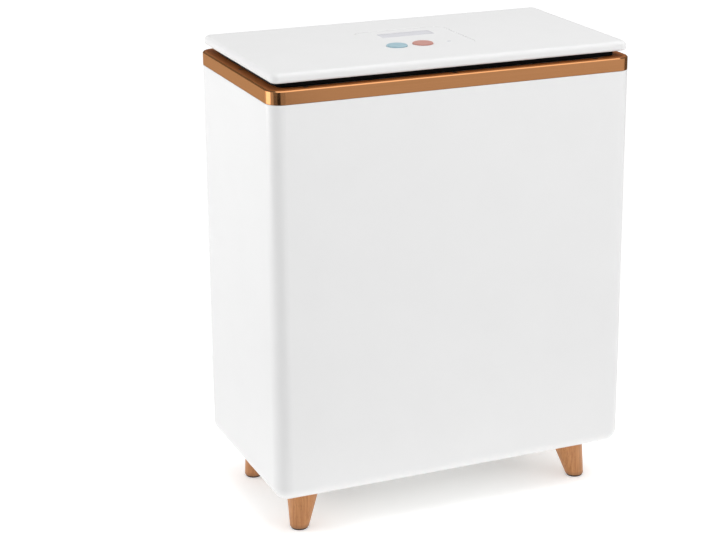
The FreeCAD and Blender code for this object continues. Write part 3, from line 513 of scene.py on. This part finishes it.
def turned(bm, profile, steps, x=0.0, y=0.0):
    # profile is a list of (radius, height); the turned shape is closed at the axis
    before = set(bm.verts)
    points = [bm.verts.new((x + r, y, z)) for r, z in profile]
    edges = [bm.edges.new(pair) for pair in zip(points, points[1:])]
    bmesh.ops.spin(
        bm, geom=points + edges, cent=(x, y, 0.0), axis=(0.0, 0.0, 1.0), angle=math.tau, steps=steps,
        use_merge=True, use_duplicate=False,
    )
    made = [v for v in bm.verts if v not in before]
    bmesh.ops.remove_doubles(bm, verts=made, dist=mergeDistance)
    return [v for v in bm.verts if v not in before]


creaseAngle = math.radians(40)


def finishPiece(name, bm, finish, body, replaced):
    bmesh.ops.recalc_face_normals(bm, faces=bm.faces[:])
    mesh = bpy.data.meshes.new(name)
    bm.to_mesh(mesh)
    bm.free()
    mesh.shade_smooth()
    mesh.set_sharp_from_angle(angle=creaseAngle)
    mesh.materials.append(finishes[finish])
    piece = bpy.data.objects.new(name, mesh)
    scene.collection.objects.link(piece)
    even = piece.modifiers.new("evenShading", "WEIGHTED_NORMAL")
    even.keep_sharp = True
    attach(piece, body)
    if replaced:
        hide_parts(*replaced)


# Wooden feet, turned with a taper, then leaned outwards, with a felt pad under each

foot = {
    "lowRadius": 10.2,
    "highRadius": 18.5,
    "edge": 1.0,
    "shoulder": 0.4,
    "boltRadius": 3.1,
    "boltDepth": 24.2,
    "steps": 72,
    "edgeSteps": 4,
    "shoulderSteps": 3,
}
footNames = ["foot_front_left", "foot_front_right", "foot_rear_left", "foot_rear_right"]


def arcPoints(centre, radius, startDegrees, stopDegrees, steps):
    turns = [math.radians(startDegrees + (stopDegrees - startDegrees) * k / steps) for k in range(steps + 1)]
    return [(centre[0] + radius * math.cos(a), centre[1] + radius * math.sin(a)) for a in turns]


def makeFoot(nodeName):
    low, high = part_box(nodeName)
    sideX = 1 if high.x > 0 else -1
    sideY = 1 if high.y > 0 else -1
    lowRadius = foot["lowRadius"] * mm
    highRadius = foot["highRadius"] * mm
    edge = foot["edge"] * mm
    shoulder = foot["shoulder"] * mm
    innerX = low.x if sideX > 0 else high.x
    innerY = low.y if sideY > 0 else high.y
    outerX = high.x if sideX > 0 else low.x
    outerY = high.y if sideY > 0 else low.y
    top = Vector((innerX + sideX * highRadius, innerY + sideY * highRadius, 0.0))
    bottom = Vector((outerX - sideX * lowRadius, outerY - sideY * lowRadius, 0.0))
    boltRadius = foot["boltRadius"] * mm
    boltEnd = high.z - foot["boltDepth"] * mm
    profile = [(0.0, low.z)]
    profile += arcPoints((lowRadius - edge, low.z + edge), edge, -90, 0, foot["edgeSteps"])
    profile += arcPoints((highRadius - shoulder, high.z - shoulder), shoulder, 0, 90, foot["shoulderSteps"])
    profile.append((boltRadius, high.z))
    bore = [(boltRadius, high.z), (boltRadius, boltEnd), (0.0, boltEnd)]
    bm = bmesh.new()
    for v in turned(bm, profile, foot["steps"], top.x, top.y):
        v.co += (bottom - top) * ((high.z - v.co.z) / (high.z - low.z))
    turned(bm, bore, foot["steps"], top.x, top.y)
    bmesh.ops.remove_doubles(bm, verts=bm.verts[:], dist=mergeDistance)
    row, side = nodeName.split("_")[1:]
    finishPiece("foot" + row.title() + side.title(), bm, "beech", "body", [nodeName])
    return bottom


footPad = {"radius": 8.8, "edge": 0.5, "steps": 48, "edgeSteps": 3}


def makeFootPads(places):
    low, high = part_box("foot_pads")
    radius = footPad["radius"] * mm
    edge = footPad["edge"] * mm
    profile = [(0.0, low.z)]
    profile += arcPoints((radius - edge, low.z + edge), edge, -90, 0, footPad["edgeSteps"])
    profile += [(radius, high.z), (0.0, high.z)]
    bm = bmesh.new()
    for place in places:
        turned(bm, profile, footPad["steps"], place.x, place.y)
    finishPiece("footPads", bm, "feltRubber", "body", ["foot_pads"])


footPlaces = [makeFoot(name) for name in footNames]
makeFootPads(footPlaces)
print("feet:", len(footPlaces), "turned")

# Copper coloured band: a rolled strip with a bright cut top edge and its joint at the middle of the back

band = {"cornerRadius": 16.0, "thickness": 1.6, "chamfer": 1.0, "lowEdge": 0.6, "joint": 0.4}


def makeBand():
    low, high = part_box("trim_band")
    thickness = band["thickness"] * mm
    radius = band["cornerRadius"] * mm
    outer = (high.x, high.y, radius)
    inner = tuple(size - thickness for size in outer)
    bm = bmesh.new()
    outlines = loft(
        bm, [(*outer, low.z), (*outer, high.z), (*inner, high.z), (*inner, low.z)], segments=18, closed=True
    )
    roundEdges(bm, outlines[1], band["chamfer"] * mm, segments=1)
    roundEdges(bm, outlines[0], band["lowEdge"] * mm, segments=3)
    half = band["joint"] * mm / 2
    for x in (-half, half):
        rear = [f for f in bm.faces if all(v.co.y > 0 for v in f.verts)]
        rear += list({e for f in rear for e in f.edges}) + list({v for f in rear for v in f.verts})
        bmesh.ops.bisect_plane(bm, geom=rear, plane_co=(x, 0.0, 0.0), plane_no=(1.0, 0.0, 0.0))
    middle = [f for f in bm.faces if f.calc_center_median().y > 0 and abs(f.calc_center_median().x) < half]
    bmesh.ops.delete(bm, geom=middle, context="FACES")
    for side in (-1, 1):
        end = [e for e in bm.edges if e.is_boundary and side * e.verts[0].co.x > 0]
        capOutline(bm, end)
    finishPiece("trimBand", bm, "copperAnodised", "body", ["trim_band"])


makeBand()
print("band: rolled")

# Warming chamber: a drawn bucket with a rolled flange and a panel pressed up in its floor

bucket = {
    "wall": 1.2,
    "flangeWidth": 4.5,
    "cornerRadius": 20.0,
    "floorRadius": 12.0,
    "lipRadius": 1.1,
    "panelInset": 38.0,
    "panelStep": 3.0,
    "panelRise": 1.2,
    "panelCorner": 6.0,
    "panelSoft": 0.7,
}


def makeBucket():
    low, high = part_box("inner_liner")
    wall = bucket["wall"] * mm
    flange = bucket["flangeWidth"] * mm
    outX = high.x - flange
    outY = high.y - flange
    radius = bucket["cornerRadius"] * mm
    floor = low.z + wall
    panel = bucket["panelInset"] * mm
    step = panel + bucket["panelStep"] * mm
    steps = [
        (0.0, low.z),
        (0.0, high.z - wall),
        (-flange, high.z - wall),
        (-flange, high.z),
        (wall, high.z),
        (wall, floor),
        (panel, floor),
        (step, floor + bucket["panelRise"] * mm),
    ]
    bm = bmesh.new()
    smallest = bucket["panelCorner"] * mm
    levels = [(outX - inset, outY - inset, max(radius - inset, smallest), z) for inset, z in steps]
    outlines = loft(bm, levels, segments=12)
    capOutline(bm, outlines[0])
    capOutline(bm, outlines[-1])
    underside, lip, floorEdge, panelEdges = outlines[0], outlines[4], outlines[5], outlines[6] + outlines[7]
    roundEdges(bm, underside, bucket["floorRadius"] * mm, segments=6)
    roundEdges(bm, floorEdge, bucket["floorRadius"] * mm - wall, segments=6)
    roundEdges(bm, lip, bucket["lipRadius"] * mm, segments=4)
    roundEdges(bm, panelEdges, bucket["panelSoft"] * mm, segments=3)
    finishPiece("warmingBucket", bm, "drawnAluminium", "body", ["inner_liner"])


makeBucket()
print("bucket: drawn")

# Lid: cover, tray below it, and the seal under its edge

lid = {
    "cornerRadius": 8.0,
    "wall": 3.0,
    "topThickness": 3.0,
    "topEdge": 4.5,
    "lowEdge": 2.8,
    "panelX": 52.0,
    "panelY": 46.0,
    "panelRadius": 10.0,
    "panelRecess": 1.8,
    "panelLedge": 2.2,
    "panelEdge": 0.35,
    "postRadius": 3.0,
    "postSunk": 1.5,
    "postSteps": 24,
}
lidPosts = {
    "trayLevel": 2.2,
    "screwX": 140.0,
    "screwInset": 15.5,
    "hingeX": 95.0,
    "hingeSpread": 20.0,
    "hingeY": 100.6,
    "boardX": 53.5,
    "boardY": 36.0,
}


def hingePlaces():
    y = lidPosts["hingeY"] * mm
    centres = (-lidPosts["hingeX"], lidPosts["hingeX"])
    return [((x + side * lidPosts["hingeSpread"]) * mm, y) for x in centres for side in (-1, 1)]


def makeLidCover():
    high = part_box("lid_cover")[1]
    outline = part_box("outer_shell")[1]
    top = high.z
    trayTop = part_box("lid_liner")[1].z
    bottom = trayTop - lidPosts["trayLevel"] * mm
    wall = lid["wall"] * mm
    radius = lid["cornerRadius"] * mm
    ledge = lid["panelLedge"] * mm
    ceiling = top - lid["topThickness"] * mm
    recess = top - lid["panelRecess"] * mm
    panel = (lid["panelX"] * mm, lid["panelY"] * mm, lid["panelRadius"] * mm)
    hole = tuple(size - ledge for size in panel)
    shell = (high.x, high.y, radius)
    inner = tuple(size - wall for size in shell)
    bm = bmesh.new()
    steps = [(shell, bottom), (shell, top), (panel, top), (panel, recess), (hole, recess), (hole, ceiling)]
    steps += [(inner, ceiling), (inner, bottom)]
    outlines = loft(bm, [(*sizes, z) for sizes, z in steps], segments=12, closed=True)
    lowEdge, topEdge, panelEdge = outlines[:3]
    roundEdges(bm, topEdge, lid["topEdge"] * mm, segments=7)
    roundEdges(bm, lowEdge, lid["lowEdge"] * mm, segments=6)
    roundEdges(bm, panelEdge, lid["panelEdge"] * mm, segments=3)
    screwY = outline.y - lidPosts["screwInset"] * mm
    endX = outline.x - lidPosts["screwInset"] * mm
    screwX = lidPosts["screwX"] * mm
    posts = [(x, side * screwY) for side in (-1, 1) for x in (-screwX, 0.0, screwX)]
    posts += [(-endX, 0.0), (endX, 0.0)]
    posts += hingePlaces()
    standing = [(x, y, trayTop) for x, y in posts]
    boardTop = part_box("tact_switches")[0].z
    standing += [
        (sx * lidPosts["boardX"] * mm, sy * lidPosts["boardY"] * mm, boardTop)
        for sx in (-1, 1)
        for sy in (-1, 1)
    ]
    root = ceiling + lid["postSunk"] * mm
    postRadius = lid["postRadius"] * mm
    for x, y, foothold in standing:
        bmesh.ops.create_cone(
            bm, cap_ends=True, segments=lid["postSteps"], radius1=postRadius, radius2=postRadius,
            depth=root - foothold, matrix=Matrix.Translation((x, y, (root + foothold) / 2)),
        )
    finishPiece("lidCover", bm, "whiteAbsSatin", "lid", ["lid_cover"])


tray = {
    "flangeThickness": 2.2,
    "flangeRadius": 4.8,
    "plugInset": 14.2,
    "plugRadius": 16.0,
    "plugEdge": 6.0,
    "wall": 1.5,
    "panelInset": 16.0,
    "panelStep": 2.0,
    "panelRise": 0.8,
    "panelCorner": 8.0,
    "panelSoft": 0.5,
    "rootSoft": 0.8,
}


def makeLidTray():
    low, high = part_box("lid_liner")
    flangeLow = high.z - tray["flangeThickness"] * mm
    inset = tray["plugInset"] * mm
    wall = tray["wall"] * mm
    flange = (high.x, high.y, tray["flangeRadius"] * mm)
    plug = (high.x - inset, high.y - inset, tray["plugRadius"] * mm)
    hollow = tuple(size - wall for size in plug)
    panel = tuple(size - tray["panelInset"] * mm for size in plug[:2]) + (tray["panelCorner"] * mm,)
    raised = tuple(size - tray["panelStep"] * mm for size in panel)
    steps = [
        (raised, low.z + tray["panelRise"] * mm),
        (panel, low.z),
        (plug, low.z),
        (plug, flangeLow),
        (flange, flangeLow),
        (flange, high.z),
        (hollow, high.z),
        (hollow, low.z + wall),
    ]
    bm = bmesh.new()
    outlines = loft(bm, [(*sizes, z) for sizes, z in steps])
    capOutline(bm, outlines[0])
    capOutline(bm, outlines[-1])
    panelEdges, hollowFloor = outlines[0] + outlines[1], outlines[-1]
    plugEdge, plugRoot = outlines[2:4]
    roundEdges(bm, plugEdge, tray["plugEdge"] * mm, segments=6)
    roundEdges(bm, hollowFloor, (tray["plugEdge"] - tray["wall"]) * mm, segments=4)
    roundEdges(bm, plugRoot, tray["rootSoft"] * mm, segments=3)
    roundEdges(bm, panelEdges, tray["panelSoft"] * mm, segments=2)
    finishPiece("lidTray", bm, "whitePolypropylene", "lid", ["lid_liner"])


seal = {"cornerRadius": 8.0, "width": 4.6, "lip": 1.5, "groove": 0.9}


def makeSeal():
    low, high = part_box("lid_seal")
    width = seal["width"] * mm
    radius = seal["cornerRadius"] * mm
    groove = seal["groove"] * mm
    waist = (low.z + high.z) / 2
    steps = [
        (0.0, high.z),
        (groove, waist),
        (0.0, low.z),
        (width, low.z),
        (width - groove, waist),
        (width, high.z),
    ]
    bm = bmesh.new()
    levels = [(high.x - inset, high.y - inset, radius - inset, z) for inset, z in steps]
    outlines = loft(bm, levels, closed=True)
    lips, grooves = outlines[2] + outlines[3], outlines[1] + outlines[4]
    roundEdges(bm, lips, seal["lip"] * mm, segments=4)
    roundEdges(bm, grooves, groove, segments=3)
    finishPiece("lidSeal", bm, "blackSilicone", "lid", ["lid_seal"])


makeLidCover()
makeLidTray()
makeSeal()
print("lid: cover, tray and seal")

# Control panel: fascia with softened openings, window, digits, light pipe and two push buttons

fascia = {
    "cornerRadius": 9.8,
    "edge": 0.35,
    "holeEdge": 0.3,
    "lightEdge": 0.15,
    "edgeSteps": 4,
    "buttonGap": 0.3,
    "windowX": 30.0,
    "windowY": 10.0,
    "windowRadius": 3.0,
    "windowLedge": 2.0,
    "openingRadius": 1.2,
    "lightGap": 0.05,
}
buttonRadius = 10.8
lightRadius = 2.5


def nodeCentre(nodeName):
    low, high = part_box(nodeName)
    return (low + high) / 2


def softWall(bm, sizes, x, y, high, low, soft, sign):
    # an upright wall whose top edge is rounded; sign is 1 round an opening and -1 round an outer edge
    levels = []
    for k in range(fascia["edgeSteps"] + 1):
        turn = math.pi / 2 * k / fascia["edgeSteps"]
        grow = sign * soft * (1 - math.sin(turn))
        levels.append((*(size + grow for size in sizes), high - soft * (1 - math.cos(turn))))
    return loft(bm, levels + [(*sizes, low)], x, y)


def makeFascia():
    low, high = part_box("control_fascia")
    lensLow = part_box("display_lens")[0].z
    plate = (high.x, high.y, fascia["cornerRadius"] * mm)
    rim = tuple(fascia[key] * mm for key in ("windowX", "windowY", "windowRadius"))
    ledge = fascia["windowLedge"] * mm
    opening = (rim[0] - ledge, rim[1] - ledge, fascia["openingRadius"] * mm)
    buttonHole = ((buttonRadius + fascia["buttonGap"]) * mm,) * 3
    lightHole = ((lightRadius + fascia["lightGap"]) * mm,) * 3
    walls = [(plate, Vector(), "edge", -1)]
    walls += [(buttonHole, nodeCentre(name), "holeEdge", 1) for name in ("blue_button", "red_button")]
    walls.append((lightHole, nodeCentre("indicator_lens"), "lightEdge", 1))
    window = nodeCentre("display_lens")
    bm = bmesh.new()
    tops, bottoms = [], []
    for sizes, place, edge, sign in walls:
        outlines = softWall(bm, sizes, place.x, place.y, high.z, low.z, fascia[edge] * mm, sign)
        tops += outlines[0]
        bottoms += outlines[-1]
    levels = [(*rim, high.z), (*rim, lensLow), (*opening, lensLow), (*opening, low.z)]
    outlines = loft(bm, levels, window.x, window.y, segments=6)
    tops += outlines[0]
    bottoms += outlines[-1]
    bmesh.ops.triangle_fill(bm, use_beauty=True, edges=tops, normal=(0.0, 0.0, 1.0))
    bmesh.ops.triangle_fill(bm, use_beauty=True, edges=bottoms, normal=(0.0, 0.0, -1.0))
    finishPiece("controlFascia", bm, "whiteAbsSatin", "lid", ["control_fascia"])


displayLens = {"radius": 2.9, "edge": 0.25}


def makeDisplayLens():
    low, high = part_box("display_lens")
    middle = nodeCentre("display_lens")
    half = (high - low) / 2
    radius = displayLens["radius"] * mm
    bm = bmesh.new()
    levels = [(half.x, half.y, radius, z) for z in (low.z, high.z)]
    bottom, top = loft(bm, levels, middle.x, middle.y, segments=6)
    capOutline(bm, bottom)
    capOutline(bm, top)
    roundEdges(bm, top, displayLens["edge"] * mm, segments=3)
    finishPiece("displayLens", bm, "lensAcrylic", "lid", ["display_lens"])


digits = {
    "count": 3,
    "pitch": 13.0,
    "height": 10.5,
    "width": 6.0,
    "stroke": 1.3,
    "gap": 0.25,
    "thick": 0.3,
    "sunk": 0.8,
    "cornerShare": 0.3,
}


def makeDigits():
    # unlit seven-segment bars on the sunk face of the display module
    middle = nodeCentre("led_display")
    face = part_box("led_display")[1].z - digits["sunk"] * mm
    thick = digits["thick"] * mm
    stroke = digits["stroke"] * mm
    gap = digits["gap"] * mm
    width = digits["width"] * mm - stroke
    rise = (digits["height"] * mm - stroke) / 2
    bars = [(0.0, level * rise, width - stroke - 2 * gap, stroke) for level in (-1, 0, 1)]
    bars += [
        (side * width / 2, level * rise / 2, stroke, rise - stroke - 2 * gap)
        for side in (-1, 1)
        for level in (-1, 1)
    ]
    bm = bmesh.new()
    for k in range(digits["count"]):
        centre = middle.x + (k - (digits["count"] - 1) / 2) * digits["pitch"] * mm
        for x, y, sizeX, sizeY in bars:
            scale = Matrix.Diagonal((sizeX, sizeY, thick, 1.0))
            place = Matrix.Translation((centre + x, middle.y + y, face + thick / 2))
            bar = bmesh.ops.create_cube(bm, size=1.0, matrix=place @ scale)["verts"]
            edges = [e for e in bm.edges if e.verts[0] in bar]
            upright = [e for e in edges if abs(e.verts[0].co.z - e.verts[1].co.z) > mergeDistance]
            roundEdges(bm, upright, stroke * digits["cornerShare"], segments=2)
    finishPiece("displayDigits", bm, "displaySegment", "lid", [])


light = {"collarHeight": 1.0, "collarWidth": 1.0, "dome": 0.12, "domeSteps": 3, "steps": 40}


def makeLight():
    low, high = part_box("indicator_lens")
    middle = nodeCentre("indicator_lens")
    radius = lightRadius * mm
    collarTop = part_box("control_fascia")[0].z
    collarLow = collarTop - light["collarHeight"] * mm
    collar = radius + light["collarWidth"] * mm
    edge = light["dome"] * mm
    profile = [(0.0, low.z), (radius, low.z), (radius, collarLow), (collar, collarLow), (collar, collarTop)]
    profile += [(radius, collarTop)]
    profile += arcPoints((radius - edge, high.z - edge), edge, 0, 90, light["domeSteps"])
    profile += [(0.0, high.z)]
    bm = bmesh.new()
    turned(bm, profile, light["steps"], middle.x, middle.y)
    finishPiece("lightPipe", bm, "lensAcrylic", "lid", ["indicator_lens"])


button = {
    "edge": 0.9,
    "dish": 0.35,
    "rim": 2.2,
    "flangeWidth": 1.2,
    "flangeHeight": 1.2,
    "flangeGap": 0.2,
    "stem": 3.2,
    "edgeSteps": 5,
    "dishSteps": 6,
    "steps": 72,
}


def makeButton(colour):
    node = colour + "_button"
    low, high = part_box(node)
    middle = nodeCentre(node)
    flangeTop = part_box("control_fascia")[0].z - button["flangeGap"] * mm
    flangeLow = flangeTop - button["flangeHeight"] * mm
    radius = buttonRadius * mm
    flange = radius + button["flangeWidth"] * mm
    stem = button["stem"] * mm
    edge = button["edge"] * mm
    rim = radius - edge - button["rim"] * mm
    profile = [(0.0, low.z), (stem, low.z), (stem, flangeLow)]
    profile += [(flange, flangeLow), (flange, flangeTop), (radius, flangeTop)]
    profile += arcPoints((radius - edge, high.z - edge), edge, 0, 90, button["edgeSteps"])
    profile += [(rim, high.z)]
    for k in range(1, button["dishSteps"] + 1):
        share = k / button["dishSteps"]
        profile.append((rim * (1 - share), high.z - button["dish"] * mm * math.sin(share * math.pi / 2)))
    bm = bmesh.new()
    turned(bm, profile, button["steps"], middle.x, middle.y)
    finishPiece(colour + "PushButton", bm, "button" + colour.title(), node, [node])


makeFascia()
makeDisplayLens()
makeDigits()
makeLight()
for colour in ("blue", "red"):
    makeButton(colour)
print("panel: fascia, window, digits, light and buttons")

# Screws with a cross recess; rowX is where the outer ones of a row stand

screws = {
    "panHead": {"head": 2.8, "height": 1.8, "shank": 1.5, "length": 11.0, "flush": False, "rowX": 120.0},
    "rimHead": {"head": 2.8, "height": 1.8, "shank": 1.5, "length": 11.0, "flush": True, "rowX": 160.0},
    "hingeHead": {"head": 2.2, "height": 1.1, "shank": 1.2, "length": 6.5, "flush": True},
    "flat": 0.72,
    "arm": 0.62,
    "slotWidth": 0.17,
    "depth": 0.45,
    "taper": 0.7,
    "steps": 24,
    "crownStart": 15,
    "crownSteps": 4,
}


def addScrew(bm, spec, x, y, seat, facing):
    # made with its head up at the origin, then turned to face the right way and put in place
    before = set(bm.verts)
    head = spec["head"] * mm
    height = spec["height"] * mm
    shank = spec["shank"] * mm
    length = spec["length"] * mm
    flat = head * screws["flat"]
    if spec["flush"]:
        profile = [(0.0, -length), (shank, -length), (shank, -height), (head, 0.0), (flat, 0.0)]
        crown = 0.0
    else:
        bend = height / 2
        flat = head - bend
        profile = [(0.0, -length), (shank, -length), (shank, 0.0), (head, 0.0), (head, bend)]
        profile += arcPoints((flat, bend), bend, screws["crownStart"], 90, screws["crownSteps"])
        crown = height
    turned(bm, profile, screws["steps"])
    outer = [e for e in bm.edges if e.is_boundary and e.verts[0] not in before]
    grid = bmesh.ops.create_grid(
        bm, x_segments=3, y_segments=3, size=1.0, matrix=Matrix.Translation((0.0, 0.0, crown))
    )["verts"]
    reach = flat * screws["arm"] / screws["flat"]
    arm = head * screws["slotWidth"]
    for v in grid:
        v.co.x = math.copysign(reach if abs(v.co.x) > 0.5 else arm, v.co.x)
        v.co.y = math.copysign(reach if abs(v.co.y) > 0.5 else arm, v.co.y)
    squares = {f: f.calc_center_median() for v in grid for f in v.link_faces}
    corners = [f for f, middle in squares.items() if min(abs(middle.x), abs(middle.y)) > arm]
    bmesh.ops.delete(bm, geom=corners, context="FACES")
    cross = list({f for v in grid if v.is_valid for f in v.link_faces})
    rim = [e for e in {e for f in cross for e in f.edges} if e.is_boundary]
    bmesh.ops.bridge_loops(bm, edges=outer + rim)
    sunk = bmesh.ops.extrude_face_region(bm, geom=cross)["geom"]
    floor = [v for v in sunk if isinstance(v, bmesh.types.BMVert)]
    bmesh.ops.scale(bm, vec=(screws["taper"], screws["taper"], 1.0), verts=floor)
    bmesh.ops.translate(bm, vec=(0.0, 0.0, -height * screws["depth"]), verts=floor)
    bmesh.ops.delete(bm, geom=[f for f in cross if f.is_valid], context="FACES")
    bmesh.ops.delete(bm, geom=[e for e in bm.edges if e.is_wire], context="EDGES")
    made = [v for v in bm.verts if v not in before]
    turn = Matrix.Identity(4) if facing > 0 else Matrix.Rotation(math.pi, 4, "X")
    bmesh.ops.transform(bm, matrix=Matrix.Translation((x, y, seat)) @ turn, verts=made)


def makeScrews(name, kind, places, seat, facing, finish, body, node):
    bm = bmesh.new()
    for x, y in places:
        addScrew(bm, screws[kind], x, y, seat, facing)
    finishPiece(name, bm, finish, body, [node])


def ringPlaces(node, kind):
    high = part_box(node)[1]
    sideX = high.x - screws[kind]["head"] * mm
    sideY = high.y - screws[kind]["head"] * mm
    rowX = screws[kind]["rowX"] * mm
    places = [(x, side * sideY) for side in (-1, 1) for x in (-rowX, 0.0, rowX)]
    return places + [(-sideX, 0.0), (sideX, 0.0)]


def makeAllScrews():
    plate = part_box("base_plate")[0].z
    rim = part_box("rim_frame")[1].z
    makeScrews(
        "baseScrews", "panHead", ringPlaces("base_screws", "panHead"), plate, -1, "zincSteel", "body",
        "base_screws",
    )
    makeScrews(
        "rimScrews", "rimHead", ringPlaces("rim_screws", "rimHead"), rim, 1, "blackSteel", "body",
        "rim_screws",
    )
    for part, facing in (("body", 1), ("lid", -1)):
        node = "hinge_screws_" + part
        low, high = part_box(node)
        seat = high.z if facing > 0 else low.z
        makeScrews(
            "hingeScrews" + part.title(), "hingeHead", hingePlaces(), seat, facing, "blackSteel", part, node,
        )


makeAllScrews()
print("screws: driven")

# Floor and lights; a glow stop is a distance from the core under the part and the floor's painted glow there

studio = {
    "floorSize": 40.0,
    "floorHexes": ("#f2f2f2", "#f6f6f6"),
    "floorCloud": 400.0,
    "glowCore": (0.11, 0.02),
    # painted glow: the floor's emission rises just round the part so that its shadow stays pale
    "glowStops": ((0.0, 0.2), (0.12, 0.48), (0.4, 0.16), (3.0, 0.62)),
    "world": 0.48,
    "topPower": 34.0,
    "topPlace": (0.25, -0.5, 2.5),
    "topSize": 2.0,
    "lightAim": (0.0, 0.0, 0.25),
    "cardHeight": 0.002,
    "cardSteps": 12,
}
# softboxes stand round the part: azimuth from the front, minus to the left
softboxes = {
    "leftSoftbox": {"azimuth": -123.0, "distance": 2.6, "height": 0.7, "size": 1.5, "power": 23.0},
    "rightSoftbox": {"azimuth": 45.0, "distance": 3.2, "height": 1.2, "size": 1.8, "power": 15.0},
}
# cards on the floor that only reflections see: they give gloss and metal their dark and bright stripes
cards = {
    "cornerCard": {"start": -66.0, "stop": -41.0, "near": 0.3, "far": 2.6, "glow": 0.32},
    "frontCard": {"start": -41.0, "stop": -20.0, "near": 0.3, "far": 2.6, "glow": 0.0},
    "middleCard": {"start": -20.0, "stop": 14.0, "near": 0.3, "far": 2.6, "glow": 0.75},
    "leftCard": {"start": -128.0, "stop": -88.0, "near": 1.8, "far": 5.0, "glow": 4.5},
    "rightCard": {"start": 76.0, "stop": 150.0, "near": 1.75, "far": 3.5, "glow": 0.3},
}


def onCircle(azimuth, distance, height):
    turn = math.radians(azimuth)
    return Vector((math.sin(turn) * distance, -math.cos(turn) * distance, height))


def stageObject(name, bm, material):
    mesh = bpy.data.meshes.new(name)
    bm.to_mesh(mesh)
    bm.free()
    mesh.materials.append(material)
    made = bpy.data.objects.new(name, mesh)
    scene.collection.objects.link(made)
    return made


def makeFloor():
    # matt paper sweep with a painted glow: its emission is raised close round the part to lighten the shadow
    # there, and far off to keep the floor white
    bm = bmesh.new()
    bmesh.ops.create_grid(bm, x_segments=1, y_segments=1, size=studio["floorSize"] / 2)
    material, place = startMaterial("paperFloor")
    cloud = addNode(material, "TexNoise", {"Vector": place, "Scale": perMm(studio["floorCloud"])})
    pale, paler = (linear(hexCode) for hexCode in studio["floorHexes"])
    tint = addNode(material, "Mix", {0: cloud.outputs[0], 6: pale, 7: paler}, data_type="RGBA")
    folded = addNode(material, "VectorMath", {0: place}, operation="ABSOLUTE")
    past = addNode(
        material, "VectorMath", {0: folded.outputs[0], 1: (*studio["glowCore"], 0.0)}, operation="SUBTRACT"
    )
    outside = addNode(material, "VectorMath", {0: past.outputs[0], 1: (0.0, 0.0, 0.0)}, operation="MAXIMUM")
    reach = addNode(material, "VectorMath", {0: outside.outputs[0]}, operation="LENGTH")
    farthest = studio["glowStops"][-1][0]
    share = addNode(material, "MapRange", {"Value": reach.outputs["Value"], "From Max": farthest})
    glow = addNode(material, "ValToRGB", {0: share.outputs[0]})
    stops = glow.color_ramp.elements
    stops.remove(stops[1])
    for distance, strength in studio["glowStops"]:
        stop = stops[0] if distance == 0.0 else stops.new(distance / farthest)
        stop.color = (strength, strength, strength, 1.0)
    sockets = {
        "Base Color": tint.outputs[2],
        "Roughness": 0.8,
        "Specular IOR Level": 0.1,
        "Emission Color": (1.0, 1.0, 1.0, 1.0),
        "Emission Strength": glow.outputs[0],
    }
    stageObject("studioFloor", bm, finishMaterial(material, sockets))


def makeCards():
    for name, spec in cards.items():
        material = startMaterial(name)[0]
        sockets = {
            "Base Color": (0.01, 0.01, 0.01, 1.0),
            "Roughness": 1.0,
            "Specular IOR Level": 0.0,
            "Emission Color": (1.0, 1.0, 1.0, 1.0),
            "Emission Strength": spec["glow"],
        }
        finishMaterial(material, sockets)
        bm = bmesh.new()
        height = studio["cardHeight"]
        ends = [bm.verts.new(onCircle(spec["start"], spec[key], height)) for key in ("near", "far")]
        edge = bm.edges.new(ends)
        bmesh.ops.spin(
            bm, geom=ends + [edge], cent=(0.0, 0.0, 0.0), axis=(0.0, 0.0, 1.0),
            angle=math.radians(spec["stop"] - spec["start"]), steps=studio["cardSteps"],
            use_merge=False, use_duplicate=False,
        )
        card = stageObject(name, bm, material)
        card.visible_camera = False
        card.visible_diffuse = False
        card.visible_transmission = False
        card.visible_shadow = False


def addSoftbox(name, place, size, power):
    data = bpy.data.lights.new(name, "AREA")
    data.shape = "SQUARE"
    data.size = size
    data.energy = power
    box = bpy.data.objects.new(name, data)
    box.location = place
    aim = Vector(studio["lightAim"]) - place
    box.rotation_euler = aim.to_track_quat("-Z", "Y").to_euler()
    box.visible_camera = False
    scene.collection.objects.link(box)


def makeLights():
    world = bpy.data.worlds.new("studioWorld")
    scene.world = world
    world.use_nodes = True
    sky = world.node_tree.nodes["Background"]
    sky.inputs["Color"].default_value = (1.0, 1.0, 1.0, 1.0)
    sky.inputs["Strength"].default_value = studio["world"]
    addSoftbox("topSoftbox", Vector(studio["topPlace"]), studio["topSize"], studio["topPower"])
    for name, spec in softboxes.items():
        place = onCircle(spec["azimuth"], spec["distance"], spec["height"])
        addSoftbox(name, place, spec["size"], spec["power"])


makeFloor()
makeCards()
makeLights()
print("studio: floor and lights")

bpy.context.view_layer.update()
